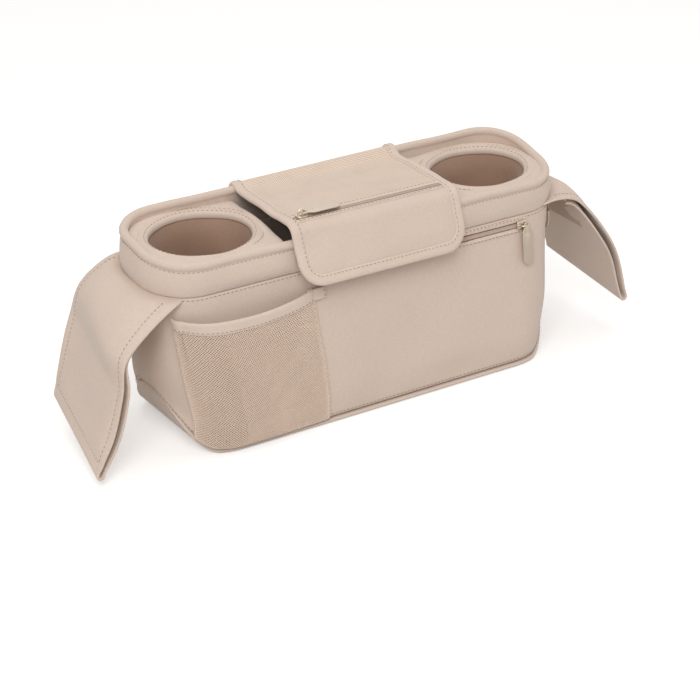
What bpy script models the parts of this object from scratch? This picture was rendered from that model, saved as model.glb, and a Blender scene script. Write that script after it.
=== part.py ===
"""Stroller organizer: a soft bag with two cup wells, a flap that holds a zipped pocket,
a zipped front pocket, a net pocket and two straps that wrap round a handlebar.

Metres, +Z up, +X along the bag, -Y towards the front. The origin is the centre of the base."""

from math import asin, atan2, cos, pi, sin, sqrt

import bmesh
import bpy
from mathutils import Matrix, Vector

# Body, outside sizes
TOP_LENGTH = 0.380
BASE_LENGTH = 0.344
TOP_FRONT = 0.0455
TOP_BACK = 0.0480
BASE_FRONT = 0.0610
BASE_BACK = 0.0590
TOP_CORNER = 0.042
BASE_CORNER = 0.030
BASE_CURL = 0.026
FRONT_SEAM = 0.1290
BACK_SEAM = 0.1375
FRONT_RIM = 0.1560
BACK_RIM = 0.1730

# Cloth and clearances
WALL = 0.0030
LINING = 0.0010
GAP = 0.0003
BASE_GAP = 0.0012
EDGE_ROUND = 0.0014

# The yoke's swell and the hollow under its rolled rim, at shares of its height
YOKE_PROFILE = ((0.0, 0.0), (0.18, 0.0), (0.40, 0.0008), (0.62, -0.0005), (0.80, 0.0), (1.0, 0.0))

# Base board
BOARD_THICK = 0.0020
BOARD_MARGIN = 0.006

# Cup wells
CUP_X = 0.131
CUP_Y = 0.001
CUP_LENGTH = 0.086
CUP_WIDTH = 0.067
CUP_TOP_HEIGHT = 0.1575
CUP_TOP_SLOPE = 0.09
CUP_TOP_THICK = 0.0025
CUP_TOP_CLEAR = 0.0009
CUP_FLOOR_HEIGHT = 0.030
CUP_TAPER = 0.76
SLEEVE_THICK = 0.0030
FACING_WIDTH = 0.008
FACING_THICK = 0.0016
FACING_DROP = 0.008
DIVIDER_X = 0.0790
DIVIDER_THICK = 0.0020

# Flap: a top run, a fold over the front rim and a drop
FLAP_WIDTH = 0.154
FLAP_BACK_HEIGHT = 0.1700
FLAP_FOLD_Y = -0.0370
FLAP_FOLD_HEIGHT = 0.1680
FLAP_FOLD_RADIUS = 0.0130
FLAP_EDGE_Y = -0.0640
FLAP_EDGE_HEIGHT = 0.1220
FLAP_CORNER = 0.020
FLAP_PANEL = 0.0012
BINDING_WIDTH = 0.008
BINDING_PROUD = 0.0004

# Zips
ZIP_WIDTH = 0.0080
ZIP_TAPE = 0.0006
CHAIN_WIDTH = 0.0036
CHAIN_THICK = 0.0012
CHAIN_PROUD = 0.0008
TOOTH_DEPTH = 0.0004
TOOTH_PITCH = 0.0040
FRONT_ZIP_LEFT = -0.0400
FRONT_ZIP_RIGHT = 0.1470
FRONT_ZIP_HEIGHT = 0.1210
FLAP_ZIP_RUN = 0.0020
FLAP_ZIP_MARGIN = 0.0020

# Sliders and pulls
SLIDER_LENGTH = 0.0100
SLIDER_WIDTH = 0.0074
SLIDER_THICK = 0.0016
SLIDER_SKIRT = 0.0006
BAIL_SPAN = 0.0060
BAIL_WIRE = 0.0007
BAIL_LEG = 0.0020
PULL_LENGTH = 0.0340
PULL_WIDTH = 0.0098
PULL_NECK = 0.0052
PULL_THICK = 0.0012
PULL_PLAY = 0.0005
PULL_CROSSBAR = 0.0008

# Net pocket on the front
POCKET_START = 1.5
POCKET_END = 2.58
POCKET_HEIGHT = 0.1140
POCKET_SAG = 0.0035
POCKET_BULGE = 0.0115
POCKET_BINDING = 0.0090
NET_THICK = 0.0012
NET_CLEAR = 0.0015
NET_STRAND = 0.0022
NET_CELLS = 9
TAB_WIDTH = 0.010
TAB_LENGTH = 0.013

# Handlebar straps: each edge is a run of (outward, down) steps from its end of the seam
STRAP_CLOTH = 0.0020
PATCH_THICK = 0.0012
STRAP_ROOT_FRONT = 1.75
STRAP_ROOT_BACK = -1.67
ROOT_FADE = 0.6
LEFT_ROOT_CLEAR = 0.0020
RIGHT_ROOT_CLEAR = 0.0010
STRAP_CORNER_COLUMNS = 4
STRAP_ROWS = 10
RETURN_ROWS = 6
PATCH_ROWS = 2
LEFT_FRONT_EDGE = [(0, 0), (0.032, 0.019), (0.057, 0.040), (0.063, 0.066), (0.073, 0.098), (0.0885, 0.1215)]
LEFT_BACK_EDGE = [(0, 0), (0.020, 0.005), (0.041, 0.020), (0.051, 0.044), (0.059, 0.070), (0.068, 0.110)]
RIGHT_FRONT_EDGE = [(0, -0.002), (0.028, 0.000), (0.045, 0.012), (0.062, 0.033), (0.077, 0.060), (0.088, 0.100)]
RIGHT_BACK_EDGE = [(0, 0), (0.022, 0.004), (0.044, 0.018), (0.060, 0.040), (0.074, 0.066), (0.084, 0.094)]
STRAP_EDGE_FRONT_Y = -0.0565
STRAP_EDGE_BACK_Y = 0.0500

# Rings for a shoulder strap, one under each handlebar strap
RING_Y = -0.009
RING_WIDTH = 0.024
RING_HEIGHT = 0.020
RING_WIRE = 0.0013
RING_TAB_WIDTH = 0.018
RING_TAB_THICK = 0.0008
RING_TAB_DROP = 0.0120
RING_TAB_TOP = 0.0068

# Colours: (red, green, blue, roughness, metallic)
CLOTH = (0.68, 0.58, 0.50, 0.90, 0.0)
CLOTH_SHADE = (0.60, 0.50, 0.42, 0.90, 0.0)
NET = (0.56, 0.43, 0.33, 0.85, 0.0)
TAPE = (0.60, 0.48, 0.41, 0.80, 0.0)
METAL = (0.76, 0.68, 0.54, 0.28, 1.0)
BOARD = (0.72, 0.70, 0.66, 0.60, 0.0)
HOOK = (0.62, 0.53, 0.46, 0.95, 0.0)


# Scene and materials

def clear_scene():
    for old in list(bpy.data.objects):
        bpy.data.objects.remove(old)


def collection(name):
    made = bpy.data.collections.new(name)
    bpy.context.scene.collection.children.link(made)
    return made


def paint(part, look):
    red, green, blue, roughness, metallic = look
    made = bpy.data.materials.new(part.name)
    made.use_nodes = True
    shader = made.node_tree.nodes["Principled BSDF"]
    shader.inputs["Base Color"].default_value = (red, green, blue, 1.0)
    shader.inputs["Roughness"].default_value = roughness
    shader.inputs["Metallic"].default_value = metallic
    made.diffuse_color = (red, green, blue, 1.0)
    part.data.materials.append(made)


def keep(name, data, look):
    part = bpy.data.objects.new(name, data)
    bag.objects.link(part)
    paint(part, look)
    return part


def mix(low, high, share):
    return low + (high - low) * share


def steps(low, high, count):
    return [mix(low, high, i / count) for i in range(count + 1)]


# Sheets of cloth

def sheet_mesh(name, point, columns, rows, closed=False, flip=False):
    """A grid whose corner (i, j) goes to point(columns[i], rows[j])."""
    bm = bmesh.new()
    across = len(columns) - 1
    up = len(rows) - 1
    bmesh.ops.create_grid(bm, x_segments=across, y_segments=up, size=0.5)
    for vert in bm.verts:
        i = round((vert.co.x + 0.5) * across)
        j = round((vert.co.y + 0.5) * up)
        vert.co = point(columns[i], rows[j])
    if closed:
        bmesh.ops.remove_doubles(bm, verts=bm.verts, dist=1e-6)
    if flip:
        bmesh.ops.reverse_faces(bm, faces=bm.faces)
    mesh = bpy.data.meshes.new(name)
    bm.to_mesh(mesh)
    bm.free()
    mesh.shade_smooth()
    mesh.set_sharp_from_angle(angle=pi / 5)
    return mesh


def thicken(part, thick, even=True):
    solid = part.modifiers.new("cloth", "SOLIDIFY")
    solid.thickness = thick
    solid.offset = -1.0
    solid.use_even_offset = even
    return part


def sheet(name, look, point, columns, rows, thick, closed=False, flip=False):
    mesh = sheet_mesh(name, point, columns, rows, closed, flip)
    return thicken(keep(name, mesh, look), thick)


def cut(part, cutter):
    cutter.hide_render = True
    cutter.display_type = "WIRE"
    tool = part.modifiers.new("cut", "BOOLEAN")
    tool.operation = "DIFFERENCE"
    tool.solver = "EXACT"
    tool.object = cutter


# The body's form

def plan_sizes(z):
    """Half length, front, back and corner radius of the plan at height z."""
    rise = min(max((z - BASE_CURL) / (FRONT_SEAM - BASE_CURL), 0.0), 1.0)
    half = mix(BASE_LENGTH, TOP_LENGTH, rise) / 2
    front = -mix(BASE_FRONT, TOP_FRONT, rise)
    back = mix(BASE_BACK, TOP_BACK, rise)
    return half, front, back, mix(BASE_CORNER, TOP_CORNER, rise)


def wall_point(station, z, inset=0.0):
    """A point of the wall, moved inwards by inset. Stations run counter-clockwise seen from above:
    0 middle of the left end, 1 to 2 left front corner, 4 to 5 right front corner,
    6 middle of the right end, 7 to 8 right back corner, 10 to 11 left back corner."""
    half, front, back, radius = plan_sizes(z)
    half -= inset
    front += inset
    back -= inset
    radius -= inset
    middle = (front + back) / 2
    s = station % 12
    if s < 1:
        return Vector((-half, mix(middle, front + radius, s), z))
    if s < 2:
        turn = pi + (s - 1) * pi / 2
        return Vector((-half + radius + radius * cos(turn), front + radius + radius * sin(turn), z))
    if s < 4:
        return Vector((mix(-half + radius, half - radius, (s - 2) / 2), front, z))
    if s < 5:
        turn = 1.5 * pi + (s - 4) * pi / 2
        return Vector((half - radius + radius * cos(turn), front + radius + radius * sin(turn), z))
    if s < 6:
        return Vector((half, mix(front + radius, middle, s - 5), z))
    if s < 7:
        return Vector((half, mix(middle, back - radius, s - 6), z))
    if s < 8:
        turn = (s - 7) * pi / 2
        return Vector((half - radius + radius * cos(turn), back - radius + radius * sin(turn), z))
    if s < 10:
        return Vector((mix(half - radius, -half + radius, (s - 8) / 2), back, z))
    if s < 11:
        turn = pi / 2 + (s - 10) * pi / 2
        return Vector((-half + radius + radius * cos(turn), back - radius + radius * sin(turn), z))
    return Vector((-half, mix(back - radius, middle, s - 11), z))


def depth_share(y):
    return (y + TOP_FRONT) / (TOP_FRONT + TOP_BACK)


def seam_height(station):
    return mix(FRONT_SEAM, BACK_SEAM, depth_share(wall_point(station, FRONT_SEAM).y))


def rim_height(station):
    return mix(FRONT_RIM, BACK_RIM, depth_share(wall_point(station, FRONT_SEAM).y))


def curl_angle(x):
    """How far round its curl the base sheet has turned at a distance x from the middle."""
    past = abs(x) - (BASE_LENGTH / 2 - BASE_CURL)
    return asin(min(max(past / BASE_CURL, 0.0), 1.0))


def foot_height(station):
    """Where the wall stands on the base sheet."""
    turn = curl_angle(wall_point(station, 0.0).x)
    return BASE_CURL - (BASE_CURL - WALL) * cos(turn) + BASE_GAP


FRONT_STATIONS = steps(0, 1, 2)[:-1] + steps(1, 2, 8)[:-1] + steps(2, 4, 10)[:-1] + steps(4, 5, 8)[:-1] + steps(5, 6, 2)
BACK_STATIONS = [station + 6 for station in FRONT_STATIONS]


def side_seam(spot, z, front_part):
    """Keeps a half of the body to its own side of the seams at the two ends."""
    front, back = plan_sizes(z)[1:3]
    middle = (front + back) / 2
    spot.y = min(spot.y, middle - GAP / 2) if front_part else max(spot.y, middle + GAP / 2)
    return spot


def make_wall(name, stations, front_part):
    def point(station, share):
        z = mix(foot_height(station), seam_height(station) - GAP, share)
        return side_seam(wall_point(station, z), z, front_part)
    return sheet(name, CLOTH, point, stations, steps(0, 1, 6), WALL)


def make_yoke(name, stations, front_part):
    def point(station, row):
        share, swell = row
        z = mix(seam_height(station), rim_height(station), share)
        return side_seam(wall_point(station, z, -swell), z, front_part)
    part = sheet(name, CLOTH, point, stations, YOKE_PROFILE, WALL)
    soften = part.modifiers.new("soft edges", "BEVEL")
    soften.width = EDGE_ROUND
    soften.segments = 1
    soften.limit_method = "ANGLE"
    soften.angle_limit = pi / 3
    return part


def base_edges(x):
    """Front and back of the base sheet at x."""
    half, front, back, radius = plan_sizes(0.0)
    past = min(max(abs(x) - (half - radius), 0.0), radius)
    rounding = radius - sqrt(radius * radius - past * past)
    return front + rounding, back - rounding


def make_base():
    """The base sheet lies flat and curls up at both ends."""
    half = BASE_LENGTH / 2
    flat = half - BASE_CURL
    turns = steps(0, pi / 2, 8)
    right = [(flat + BASE_CURL * sin(turn), BASE_CURL * (1 - cos(turn))) for turn in turns]
    left = [(-x, z) for x, z in reversed(right)]
    inner = [(x, 0.0) for x in steps(-flat, flat, 6)[1:-1]]

    def point(column, share):
        x, z = column
        front, back = base_edges(x)
        return Vector((x, mix(front, back, share), z))
    return sheet("base_panel", CLOTH, point, left + inner + right, steps(0, 1, 4), WALL, flip=True)


def make_board():
    """A stiffening board that lies loose on the base sheet."""
    bottom = WALL + GAP

    def point(x, share):
        front, back = base_edges(x)
        inset = WALL + BOARD_MARGIN
        return Vector((x, mix(front + inset, back - inset, share), bottom + BOARD_THICK))
    reach = BASE_LENGTH / 2 - BASE_CURL - BOARD_MARGIN / 2
    return sheet("base_board", BOARD, point, steps(-reach, reach, 1), [0, 1], BOARD_THICK)


# Cup wells

def cup_top_z(y):
    return CUP_TOP_HEIGHT + CUP_TOP_SLOPE * y


def around(count=32):
    return steps(0, 2 * pi, count)


def oval(turn, length, width, side):
    return side * CUP_X + length / 2 * cos(turn), CUP_Y + width / 2 * sin(turn)


def cup_panel_edge(turn, side):
    """The cup panel's outer edge, met by a ray from the middle of the cup."""
    aim = Vector((cos(turn), sin(turn)))
    inset = WALL + CUP_TOP_CLEAR
    half, front, back, radius = plan_sizes(CUP_TOP_HEIGHT)
    half -= inset
    front += inset
    back -= inset
    radius -= inset
    start = Vector((CUP_X, CUP_Y))
    if side < 0:
        aim.x = -aim.x
    reach = []
    if aim.x > 1e-9:
        reach.append((half - start.x) / aim.x)
    if aim.x < -1e-9:
        reach.append((DIVIDER_X - start.x) / aim.x)
    if aim.y > 1e-9:
        reach.append((back - start.y) / aim.y)
    if aim.y < -1e-9:
        reach.append((front - start.y) / aim.y)
    spot = start + aim * min(reach)
    for centre_y, beyond in ((front + radius, spot.y < front + radius), (back - radius, spot.y > back - radius)):
        centre = Vector((half - radius, centre_y))
        if beyond and spot.x > centre.x:
            offset = start - centre
            along = offset.dot(aim)
            spot = start + aim * (-along + sqrt(along * along - offset.length_squared + radius * radius))
    return side * spot.x, spot.y


def make_cup(label, side):
    """One cup well: its top panel, bound facing, sleeve, floor and divider."""
    flip = side < 0

    def turned(turn):
        return turn if side > 0 else pi - turn

    def panel(turn, share):
        inner = Vector(oval(turned(turn), CUP_LENGTH, CUP_WIDTH, side))
        outer = Vector(cup_panel_edge(turned(turn), side))
        spot = inner.lerp(outer, share)
        return Vector((spot.x, spot.y, cup_top_z(spot.y)))
    sheet(label + "_cup_top", CLOTH, panel, around(), [1.0, 0.45, 0.0], CUP_TOP_THICK, closed=True, flip=flip)

    lip = -FACING_THICK - GAP
    ring = [(FACING_WIDTH, 0.0), (0.0, 0.0), (lip, -FACING_THICK * 0.6), (lip, -FACING_DROP)]

    def facing(turn, station):
        grow, rise = station
        x, y = oval(turned(turn), CUP_LENGTH + 2 * grow, CUP_WIDTH + 2 * grow, side)
        return Vector((x, y, cup_top_z(y) + GAP + FACING_THICK + rise))
    sheet(label + "_cup_facing", CLOTH, facing, around(), ring, FACING_THICK, closed=True, flip=flip)

    top_grow = 2 * (SLEEVE_THICK + GAP)

    def sleeve(turn, share):
        scale = mix(1.0, CUP_TAPER, share)
        x, y = oval(turned(turn), CUP_LENGTH * scale + top_grow, CUP_WIDTH * scale + top_grow, side)
        top = cup_top_z(y) - CUP_TOP_THICK - 2 * GAP
        return Vector((x, y, mix(top, CUP_FLOOR_HEIGHT + GAP, share)))
    sheet(label + "_cup_sleeve", CLOTH_SHADE, sleeve, around(), steps(0, 1, 3), SLEEVE_THICK, closed=True, flip=not flip)

    length = CUP_LENGTH * CUP_TAPER + top_grow
    width = CUP_WIDTH * CUP_TAPER + top_grow
    outline = bpy.data.curves.new(label + "_cup_floor", "CURVE")
    outline.dimensions = "2D"
    outline.fill_mode = "BOTH"
    outline.extrude = SLEEVE_THICK / 2
    edge = outline.splines.new("POLY")
    edge.points.add(len(around()) - 2)
    for spot, turn in zip(edge.points, around()):
        x, y = oval(turn, length, width, 0)
        spot.co = (x, y - CUP_Y, 0.0, 1.0)
    edge.use_cyclic_u = True
    floor = keep(label + "_cup_floor", outline, CLOTH_SHADE)
    floor.location = (side * CUP_X, CUP_Y, CUP_FLOOR_HEIGHT - SLEEVE_THICK / 2)

    bottom = WALL + BOARD_THICK + 2 * GAP

    def divider(share, rise):
        z = mix(bottom, cup_top_z(0.0) - CUP_TOP_THICK - GAP, rise)
        front, back = plan_sizes(z)[1:3]
        inset = WALL + LINING + 3 * GAP
        y = mix(front + inset, back - inset, share)
        z += CUP_TOP_SLOPE * y * rise
        return Vector((side * DIVIDER_X, y, z))
    sheet(label + "_divider", CLOTH_SHADE, divider, steps(0, 1, 4), steps(0, 1, 5), DIVIDER_THICK, flip=side > 0)


# Zips, sliders and pulls

def chain_rows(low, high):
    """Stations along a zip chain: two to a tooth, the second of them raised."""
    teeth = max(1, round((high - low) / TOOTH_PITCH))
    return [(at, i % 2) for i, at in enumerate(steps(low, high, 2 * teeth))]


def make_zip(name, surface, tape_ends, chain_ends, middle, sides, flip=False):
    """Two tapes and a closed chain of teeth between them. surface(x, along, lift) is the cloth's face."""
    half = ZIP_WIDTH / 2
    chain = CHAIN_WIDTH / 2

    def tape(x, along):
        return surface(x, along, -ZIP_TAPE / 2)
    spans = ((middle - half + GAP, middle - chain - GAP), (middle + chain + GAP, middle + half - GAP))
    for side, span in zip(sides, spans):
        sheet(f"{name}_tape_{side}", TAPE, tape, steps(*tape_ends, 4), span, ZIP_TAPE, flip=flip)

    def tooth(station, along):
        x, raised = station
        return surface(x, along, CHAIN_PROUD if raised else CHAIN_PROUD - TOOTH_DEPTH)
    edges = [middle - chain, middle + chain]
    sheet(f"{name}_teeth", TAPE, tooth, chain_rows(*chain_ends), edges, CHAIN_THICK, flip=flip)


def placed(part, spot, out, along):
    """Stands a part with its local Z along out and its local X along the zip."""
    third = out.cross(along).normalized()
    first = third.cross(out).normalized()
    turn = Matrix((first, third, out)).transposed().to_4x4()
    part.matrix_world = Matrix.Translation(spot) @ turn
    return part


def outline_mesh(name, points, thick, centre_z):
    """A flat plate of the outline given, with its middle plane at centre_z."""
    curve = bpy.data.curves.new(name, "CURVE")
    curve.dimensions = "2D"
    curve.fill_mode = "BOTH"
    curve.extrude = thick / 2
    for loop in points:
        edge = curve.splines.new("POLY")
        edge.points.add(len(loop) - 1)
        for spot, (x, y) in zip(edge.points, loop):
            spot.co = (x, y, 0.0, 1.0)
        edge.use_cyclic_u = True
    return solid_mesh(name, curve, Matrix.Translation((0.0, 0.0, centre_z)))


def solid_mesh(name, curve, matrix):
    """The closed mesh of a curve, with its caps welded on."""
    guide = bpy.data.objects.new(name, curve)
    bag.objects.link(guide)
    bpy.context.view_layer.update()
    view = bpy.context.evaluated_depsgraph_get()
    mesh = bpy.data.meshes.new_from_object(guide.evaluated_get(view))
    bpy.data.objects.remove(guide)
    bm = bmesh.new()
    bm.from_mesh(mesh)
    bmesh.ops.remove_doubles(bm, verts=bm.verts, dist=1e-6)
    bmesh.ops.transform(bm, matrix=matrix, verts=bm.verts)
    bm.to_mesh(mesh)
    bm.free()
    return mesh


def tube_mesh(name, points, radius, closed=False):
    curve = bpy.data.curves.new(name, "CURVE")
    curve.dimensions = "3D"
    curve.bevel_depth = radius
    curve.bevel_resolution = 2
    curve.use_fill_caps = not closed
    line = curve.splines.new("POLY")
    line.points.add(len(points) - 1)
    for spot, at in zip(line.points, points):
        spot.co = (*at, 1.0)
    line.use_cyclic_u = closed
    return solid_mesh(name, curve, Matrix.Identity(4))


def arc(centre, radius, start, end, count):
    return [(centre[0] + radius * cos(a), centre[1] + radius * sin(a)) for a in steps(start, end, count)]


def make_slider(name, spot, out, along):
    """A slider plate with skirts beside the chain and a wire bail. Its foot is on the cloth's face."""
    bottom = CHAIN_PROUD + GAP
    top = bottom + SLIDER_THICK
    half = SLIDER_LENGTH / 2
    wide = SLIDER_WIDTH / 2
    corner = wide * 0.6
    plate = (arc((half - corner, wide - corner), corner, 0, pi / 2, 3)
             + arc((-half + corner, wide - corner), corner, pi / 2, pi, 3)
             + arc((-half + corner, -wide + corner), corner, pi, 1.5 * pi, 3)
             + arc((half - corner, -wide + corner), corner, 1.5 * pi, 2 * pi, 3))
    slider = keep(name, outline_mesh(name, [plate], SLIDER_THICK, (top + bottom) / 2), METAL)

    skirt_out = wide - corner * 0.3
    skirt_in = CHAIN_WIDTH / 2 + GAP
    for side in (-1, 1):
        skirt = bmesh.new()
        bmesh.ops.create_cube(skirt, size=1.0)
        size = (SLIDER_LENGTH - 2 * corner, skirt_out - skirt_in, SLIDER_SKIRT + SLIDER_THICK / 2)
        centre = (0.0, side * (skirt_out + skirt_in) / 2, bottom + SLIDER_THICK / 2 - size[2] / 2)
        bmesh.ops.scale(skirt, vec=size, verts=skirt.verts)
        bmesh.ops.translate(skirt, vec=centre, verts=skirt.verts)
        mesh = bpy.data.meshes.new(name + "_skirt")
        skirt.to_mesh(mesh)
        skirt.free()
        join(slider, mesh)

    span = BAIL_SPAN / 2
    root = top - SLIDER_THICK / 2
    crown = [(x, top + BAIL_LEG + rise) for x, rise in arc((0, 0), span, 0, pi, 8)]
    wire = [(span, 0.0, root)] + [(x, 0.0, z) for x, z in crown] + [(-span, 0.0, root)]
    join(slider, tube_mesh(name + "_bail", wire, BAIL_WIRE))
    return placed(slider, spot, out, along)


def join(part, mesh):
    """Unites a closed mesh with a part, and keeps it as a hidden cutter."""
    helper = bpy.data.objects.new(mesh.name, mesh)
    cutters.objects.link(helper)
    helper.hide_render = True
    helper.display_type = "WIRE"
    helper.parent = part
    tool = part.modifiers.new("join", "BOOLEAN")
    tool.operation = "UNION"
    tool.solver = "EXACT"
    tool.object = helper


def pull_lift():
    """Height of a pull's middle plane over the cloth's face."""
    return CHAIN_PROUD + GAP + SLIDER_THICK + BAIL_LEG


def make_pull(name, spot, out, along, slotted):
    """A long flat pull. Its eye sits round a leg of the bail, or is a slot with a crossbar under the bail."""
    wide = PULL_WIDTH / 2
    hole = BAIL_WIRE + PULL_PLAY
    if slotted:
        inner = PULL_CROSSBAR
        outer = BAIL_SPAN / 2 + hole
        eye = arc((outer - hole, 0), hole, -pi / 2, pi / 2, 6) + arc((inner + hole, 0), hole, pi / 2, 1.5 * pi, 6)
        neck = [(-PULL_CROSSBAR, PULL_NECK / 2), (-PULL_CROSSBAR, -PULL_NECK / 2)]
        shoulder = outer + PULL_CROSSBAR
    else:
        eye = arc((0, 0), hole, 0, 2 * pi, 12)[:-1]
        rim = hole + PULL_CROSSBAR
        neck = arc((0, 0), rim, pi / 2, 1.5 * pi, 8)
        shoulder = rim
    end = PULL_LENGTH - wide
    tip = arc((end, 0), wide, -pi / 2, pi / 2, 10)
    body = neck + [(shoulder, -PULL_NECK / 2), (shoulder + wide, -wide)] + tip
    body += [(shoulder + wide, wide), (shoulder, PULL_NECK / 2)]
    pull = keep(name, outline_mesh(name, [body, eye], PULL_THICK, 0.0), METAL)
    return placed(pull, spot + out * pull_lift(), out, along)


# Front pocket: a zip in a slot of the front wall, and a lining behind it

def front_slope():
    return atan2(BASE_FRONT - TOP_FRONT, FRONT_SEAM - BASE_CURL)


def front_out():
    return Vector((0.0, -cos(front_slope()), sin(front_slope())))


def front_face(x, z, lift):
    return Vector((x, plan_sizes(z)[1], z)) + front_out() * lift


def make_front_pocket(front_wall):
    half = ZIP_WIDTH / 2

    def slot(x, z):
        return front_face(x, z, WALL)
    columns = [FRONT_ZIP_LEFT - GAP, FRONT_ZIP_RIGHT + GAP]
    rows = [FRONT_ZIP_HEIGHT - half, FRONT_ZIP_HEIGHT + half]
    block = bpy.data.objects.new("front_slot", sheet_mesh("front_slot", slot, columns, rows))
    cutters.objects.link(block)
    cut(front_wall, thicken(block, 4 * WALL))
    ends = (FRONT_ZIP_LEFT, FRONT_ZIP_RIGHT)
    make_zip("front_zip", front_face, ends, ends, FRONT_ZIP_HEIGHT, ("lower", "upper"))

    def lining(x, share):
        z = mix(WALL + BOARD_THICK + 2 * GAP, FRONT_ZIP_HEIGHT + ZIP_WIDTH, share)
        return front_face(x, z, 0.0) + Vector((0.0, WALL / cos(front_slope()) + GAP, 0.0))
    reach = [FRONT_ZIP_LEFT - ZIP_WIDTH, FRONT_ZIP_RIGHT - ZIP_WIDTH]
    sheet("front_pocket_lining", CLOTH_SHADE, lining, steps(*reach, 4), steps(0, 1, 5), LINING)

    along = Vector((1.0, 0.0, 0.0))
    centre = front_face(FRONT_ZIP_RIGHT - SLIDER_LENGTH / 2, FRONT_ZIP_HEIGHT, 0.0)
    make_slider("front_zip_slider", centre, front_out(), along)
    leg = centre + along * (BAIL_SPAN / 2)
    down = front_out().cross(along)
    make_pull("front_zip_pull", leg, front_out(), -down if down.z > 0 else down, slotted=False)


# Flap

def flap_frame():
    """Start, directions and lengths of the flap's side view: top run, fold and drop, in (y, z)."""
    back_y = TOP_BACK - WALL - GAP
    start = Vector((back_y, FLAP_BACK_HEIGHT))
    fold = Vector((FLAP_FOLD_Y, FLAP_FOLD_HEIGHT))
    edge = Vector((FLAP_EDGE_Y, FLAP_EDGE_HEIGHT))
    run = (fold - start).normalized()
    top = (fold - start).length
    run_turn = atan2(-run.y, -run.x)
    centre = fold - Vector((-sin(run_turn), cos(run_turn))) * FLAP_FOLD_RADIUS
    reach = edge - centre
    tangent = sqrt(reach.length_squared - FLAP_FOLD_RADIUS ** 2)
    bearing = atan2(-reach.y, -reach.x)
    drop_turn = bearing + asin(FLAP_FOLD_RADIUS / reach.length)
    return start, run, top, run_turn, centre, drop_turn, tangent


def flap_side(distance):
    """Point and outward normal of the flap's side view at a distance from its back edge."""
    start, run, top, run_turn, centre, drop_turn, tangent = flap_frame()
    bend = FLAP_FOLD_RADIUS * (drop_turn - run_turn)
    if distance <= top:
        turn = run_turn
        spot = start + run * distance
    elif distance <= top + bend:
        turn = run_turn + (distance - top) / FLAP_FOLD_RADIUS
        spot = centre + Vector((-sin(turn), cos(turn))) * FLAP_FOLD_RADIUS
    else:
        turn = drop_turn
        spot = centre + Vector((-sin(turn), cos(turn))) * FLAP_FOLD_RADIUS
        spot += Vector((-cos(turn), -sin(turn))) * (distance - top - bend)
    return spot, Vector((-sin(turn), cos(turn)))


def flap_length():
    top, run_turn, drop_turn, tangent = (flap_frame()[i] for i in (2, 3, 5, 6))
    return top + FLAP_FOLD_RADIUS * (drop_turn - run_turn) + tangent


def flap_face(x, distance, lift):
    spot, out = flap_side(distance)
    spot = spot + out * lift
    return Vector((x, spot.x, spot.y))


def flap_rows(low, high, inset):
    """Distances from low to high that follow the fold and the rounded corners."""
    top, run_turn, drop_turn = (flap_frame()[i] for i in (2, 3, 5))
    bend = FLAP_FOLD_RADIUS * (drop_turn - run_turn)
    corner = flap_length() - FLAP_CORNER
    radius = FLAP_CORNER - inset
    marks = steps(0, top, 3) + steps(top, top + bend, 5) + [corner]
    marks += [corner + radius * sin(a) for a in steps(0, pi / 2, 4)]
    inside = sorted({round(mark, 6) for mark in marks if low + 1e-4 < mark < high - 1e-4})
    return [low] + inside + [high]


def flap_half_width(distance, inset):
    radius = FLAP_CORNER - inset
    past = min(max(distance - (flap_length() - FLAP_CORNER), 0.0), radius)
    return FLAP_WIDTH / 2 - FLAP_CORNER + sqrt(radius * radius - past * past)


def flap_panel(name, look, low, high, lift, thick, columns=4):
    inset = BINDING_WIDTH + GAP

    def point(share, distance):
        return flap_face(share * flap_half_width(distance, inset), distance, lift)
    return sheet(name, look, point, steps(-1, 1, columns), flap_rows(low, high, inset), thick, flip=True)


def make_flap():
    full = flap_length()
    inside = full - BINDING_WIDTH - GAP
    top = flap_frame()[2]
    middle = top - FLAP_ZIP_RUN
    half = ZIP_WIDTH / 2
    flap_panel("flap_lining", CLOTH_SHADE, 0.0, inside, -FLAP_PANEL - GAP, LINING)
    flap_panel("flap_mesh_panel", NET, 0.0, middle - half, 0.0, FLAP_PANEL)
    flap_panel("flap_front_panel", CLOTH, middle + half, inside, 0.0, FLAP_PANEL)

    corner = full - FLAP_CORNER
    side = FLAP_WIDTH / 2
    rows = flap_rows(0.0, corner, 0.0)
    down = [("side", -1, distance) for distance in rows]
    turn = [("corner", -1, angle) for angle in steps(0, pi / 2, 5)[1:]]
    bottom = [("bottom", 0, x) for x in steps(FLAP_CORNER - side, side - FLAP_CORNER, 3)[1:]]
    left_half = down + turn
    right_half = [(kind, 1, at) for kind, way, at in reversed(left_half)]
    track = left_half + bottom[:-1] + right_half

    def binding(station, inset):
        kind, way, at = station
        radius = FLAP_CORNER - inset
        if kind == "side":
            x, distance = way * (side - inset), at
        elif kind == "corner":
            x = way * (side - FLAP_CORNER + radius * cos(at))
            distance = corner + radius * sin(at)
        else:
            x, distance = at, full - inset
        return flap_face(x, distance, BINDING_PROUD)
    thick = FLAP_PANEL + GAP + LINING + 2 * BINDING_PROUD
    sheet("flap_binding", CLOTH, binding, track, [0.0, BINDING_WIDTH], thick)

    reach = side - BINDING_WIDTH - GAP
    ends = (FLAP_ZIP_MARGIN - reach, reach - FLAP_ZIP_MARGIN)
    make_zip("flap_zip", flap_face, (-reach, reach), ends, middle, ("rear", "front"), flip=True)

    along = Vector((1.0, 0.0, 0.0))
    out = Vector((0.0, *flap_side(middle)[1]))
    centre = flap_face(ends[0] + SLIDER_LENGTH / 2, middle, 0.0)
    make_slider("flap_zip_slider", centre, out, along)
    make_pull("flap_zip_pull", centre, out, along, slotted=True)


# Net pocket

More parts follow.
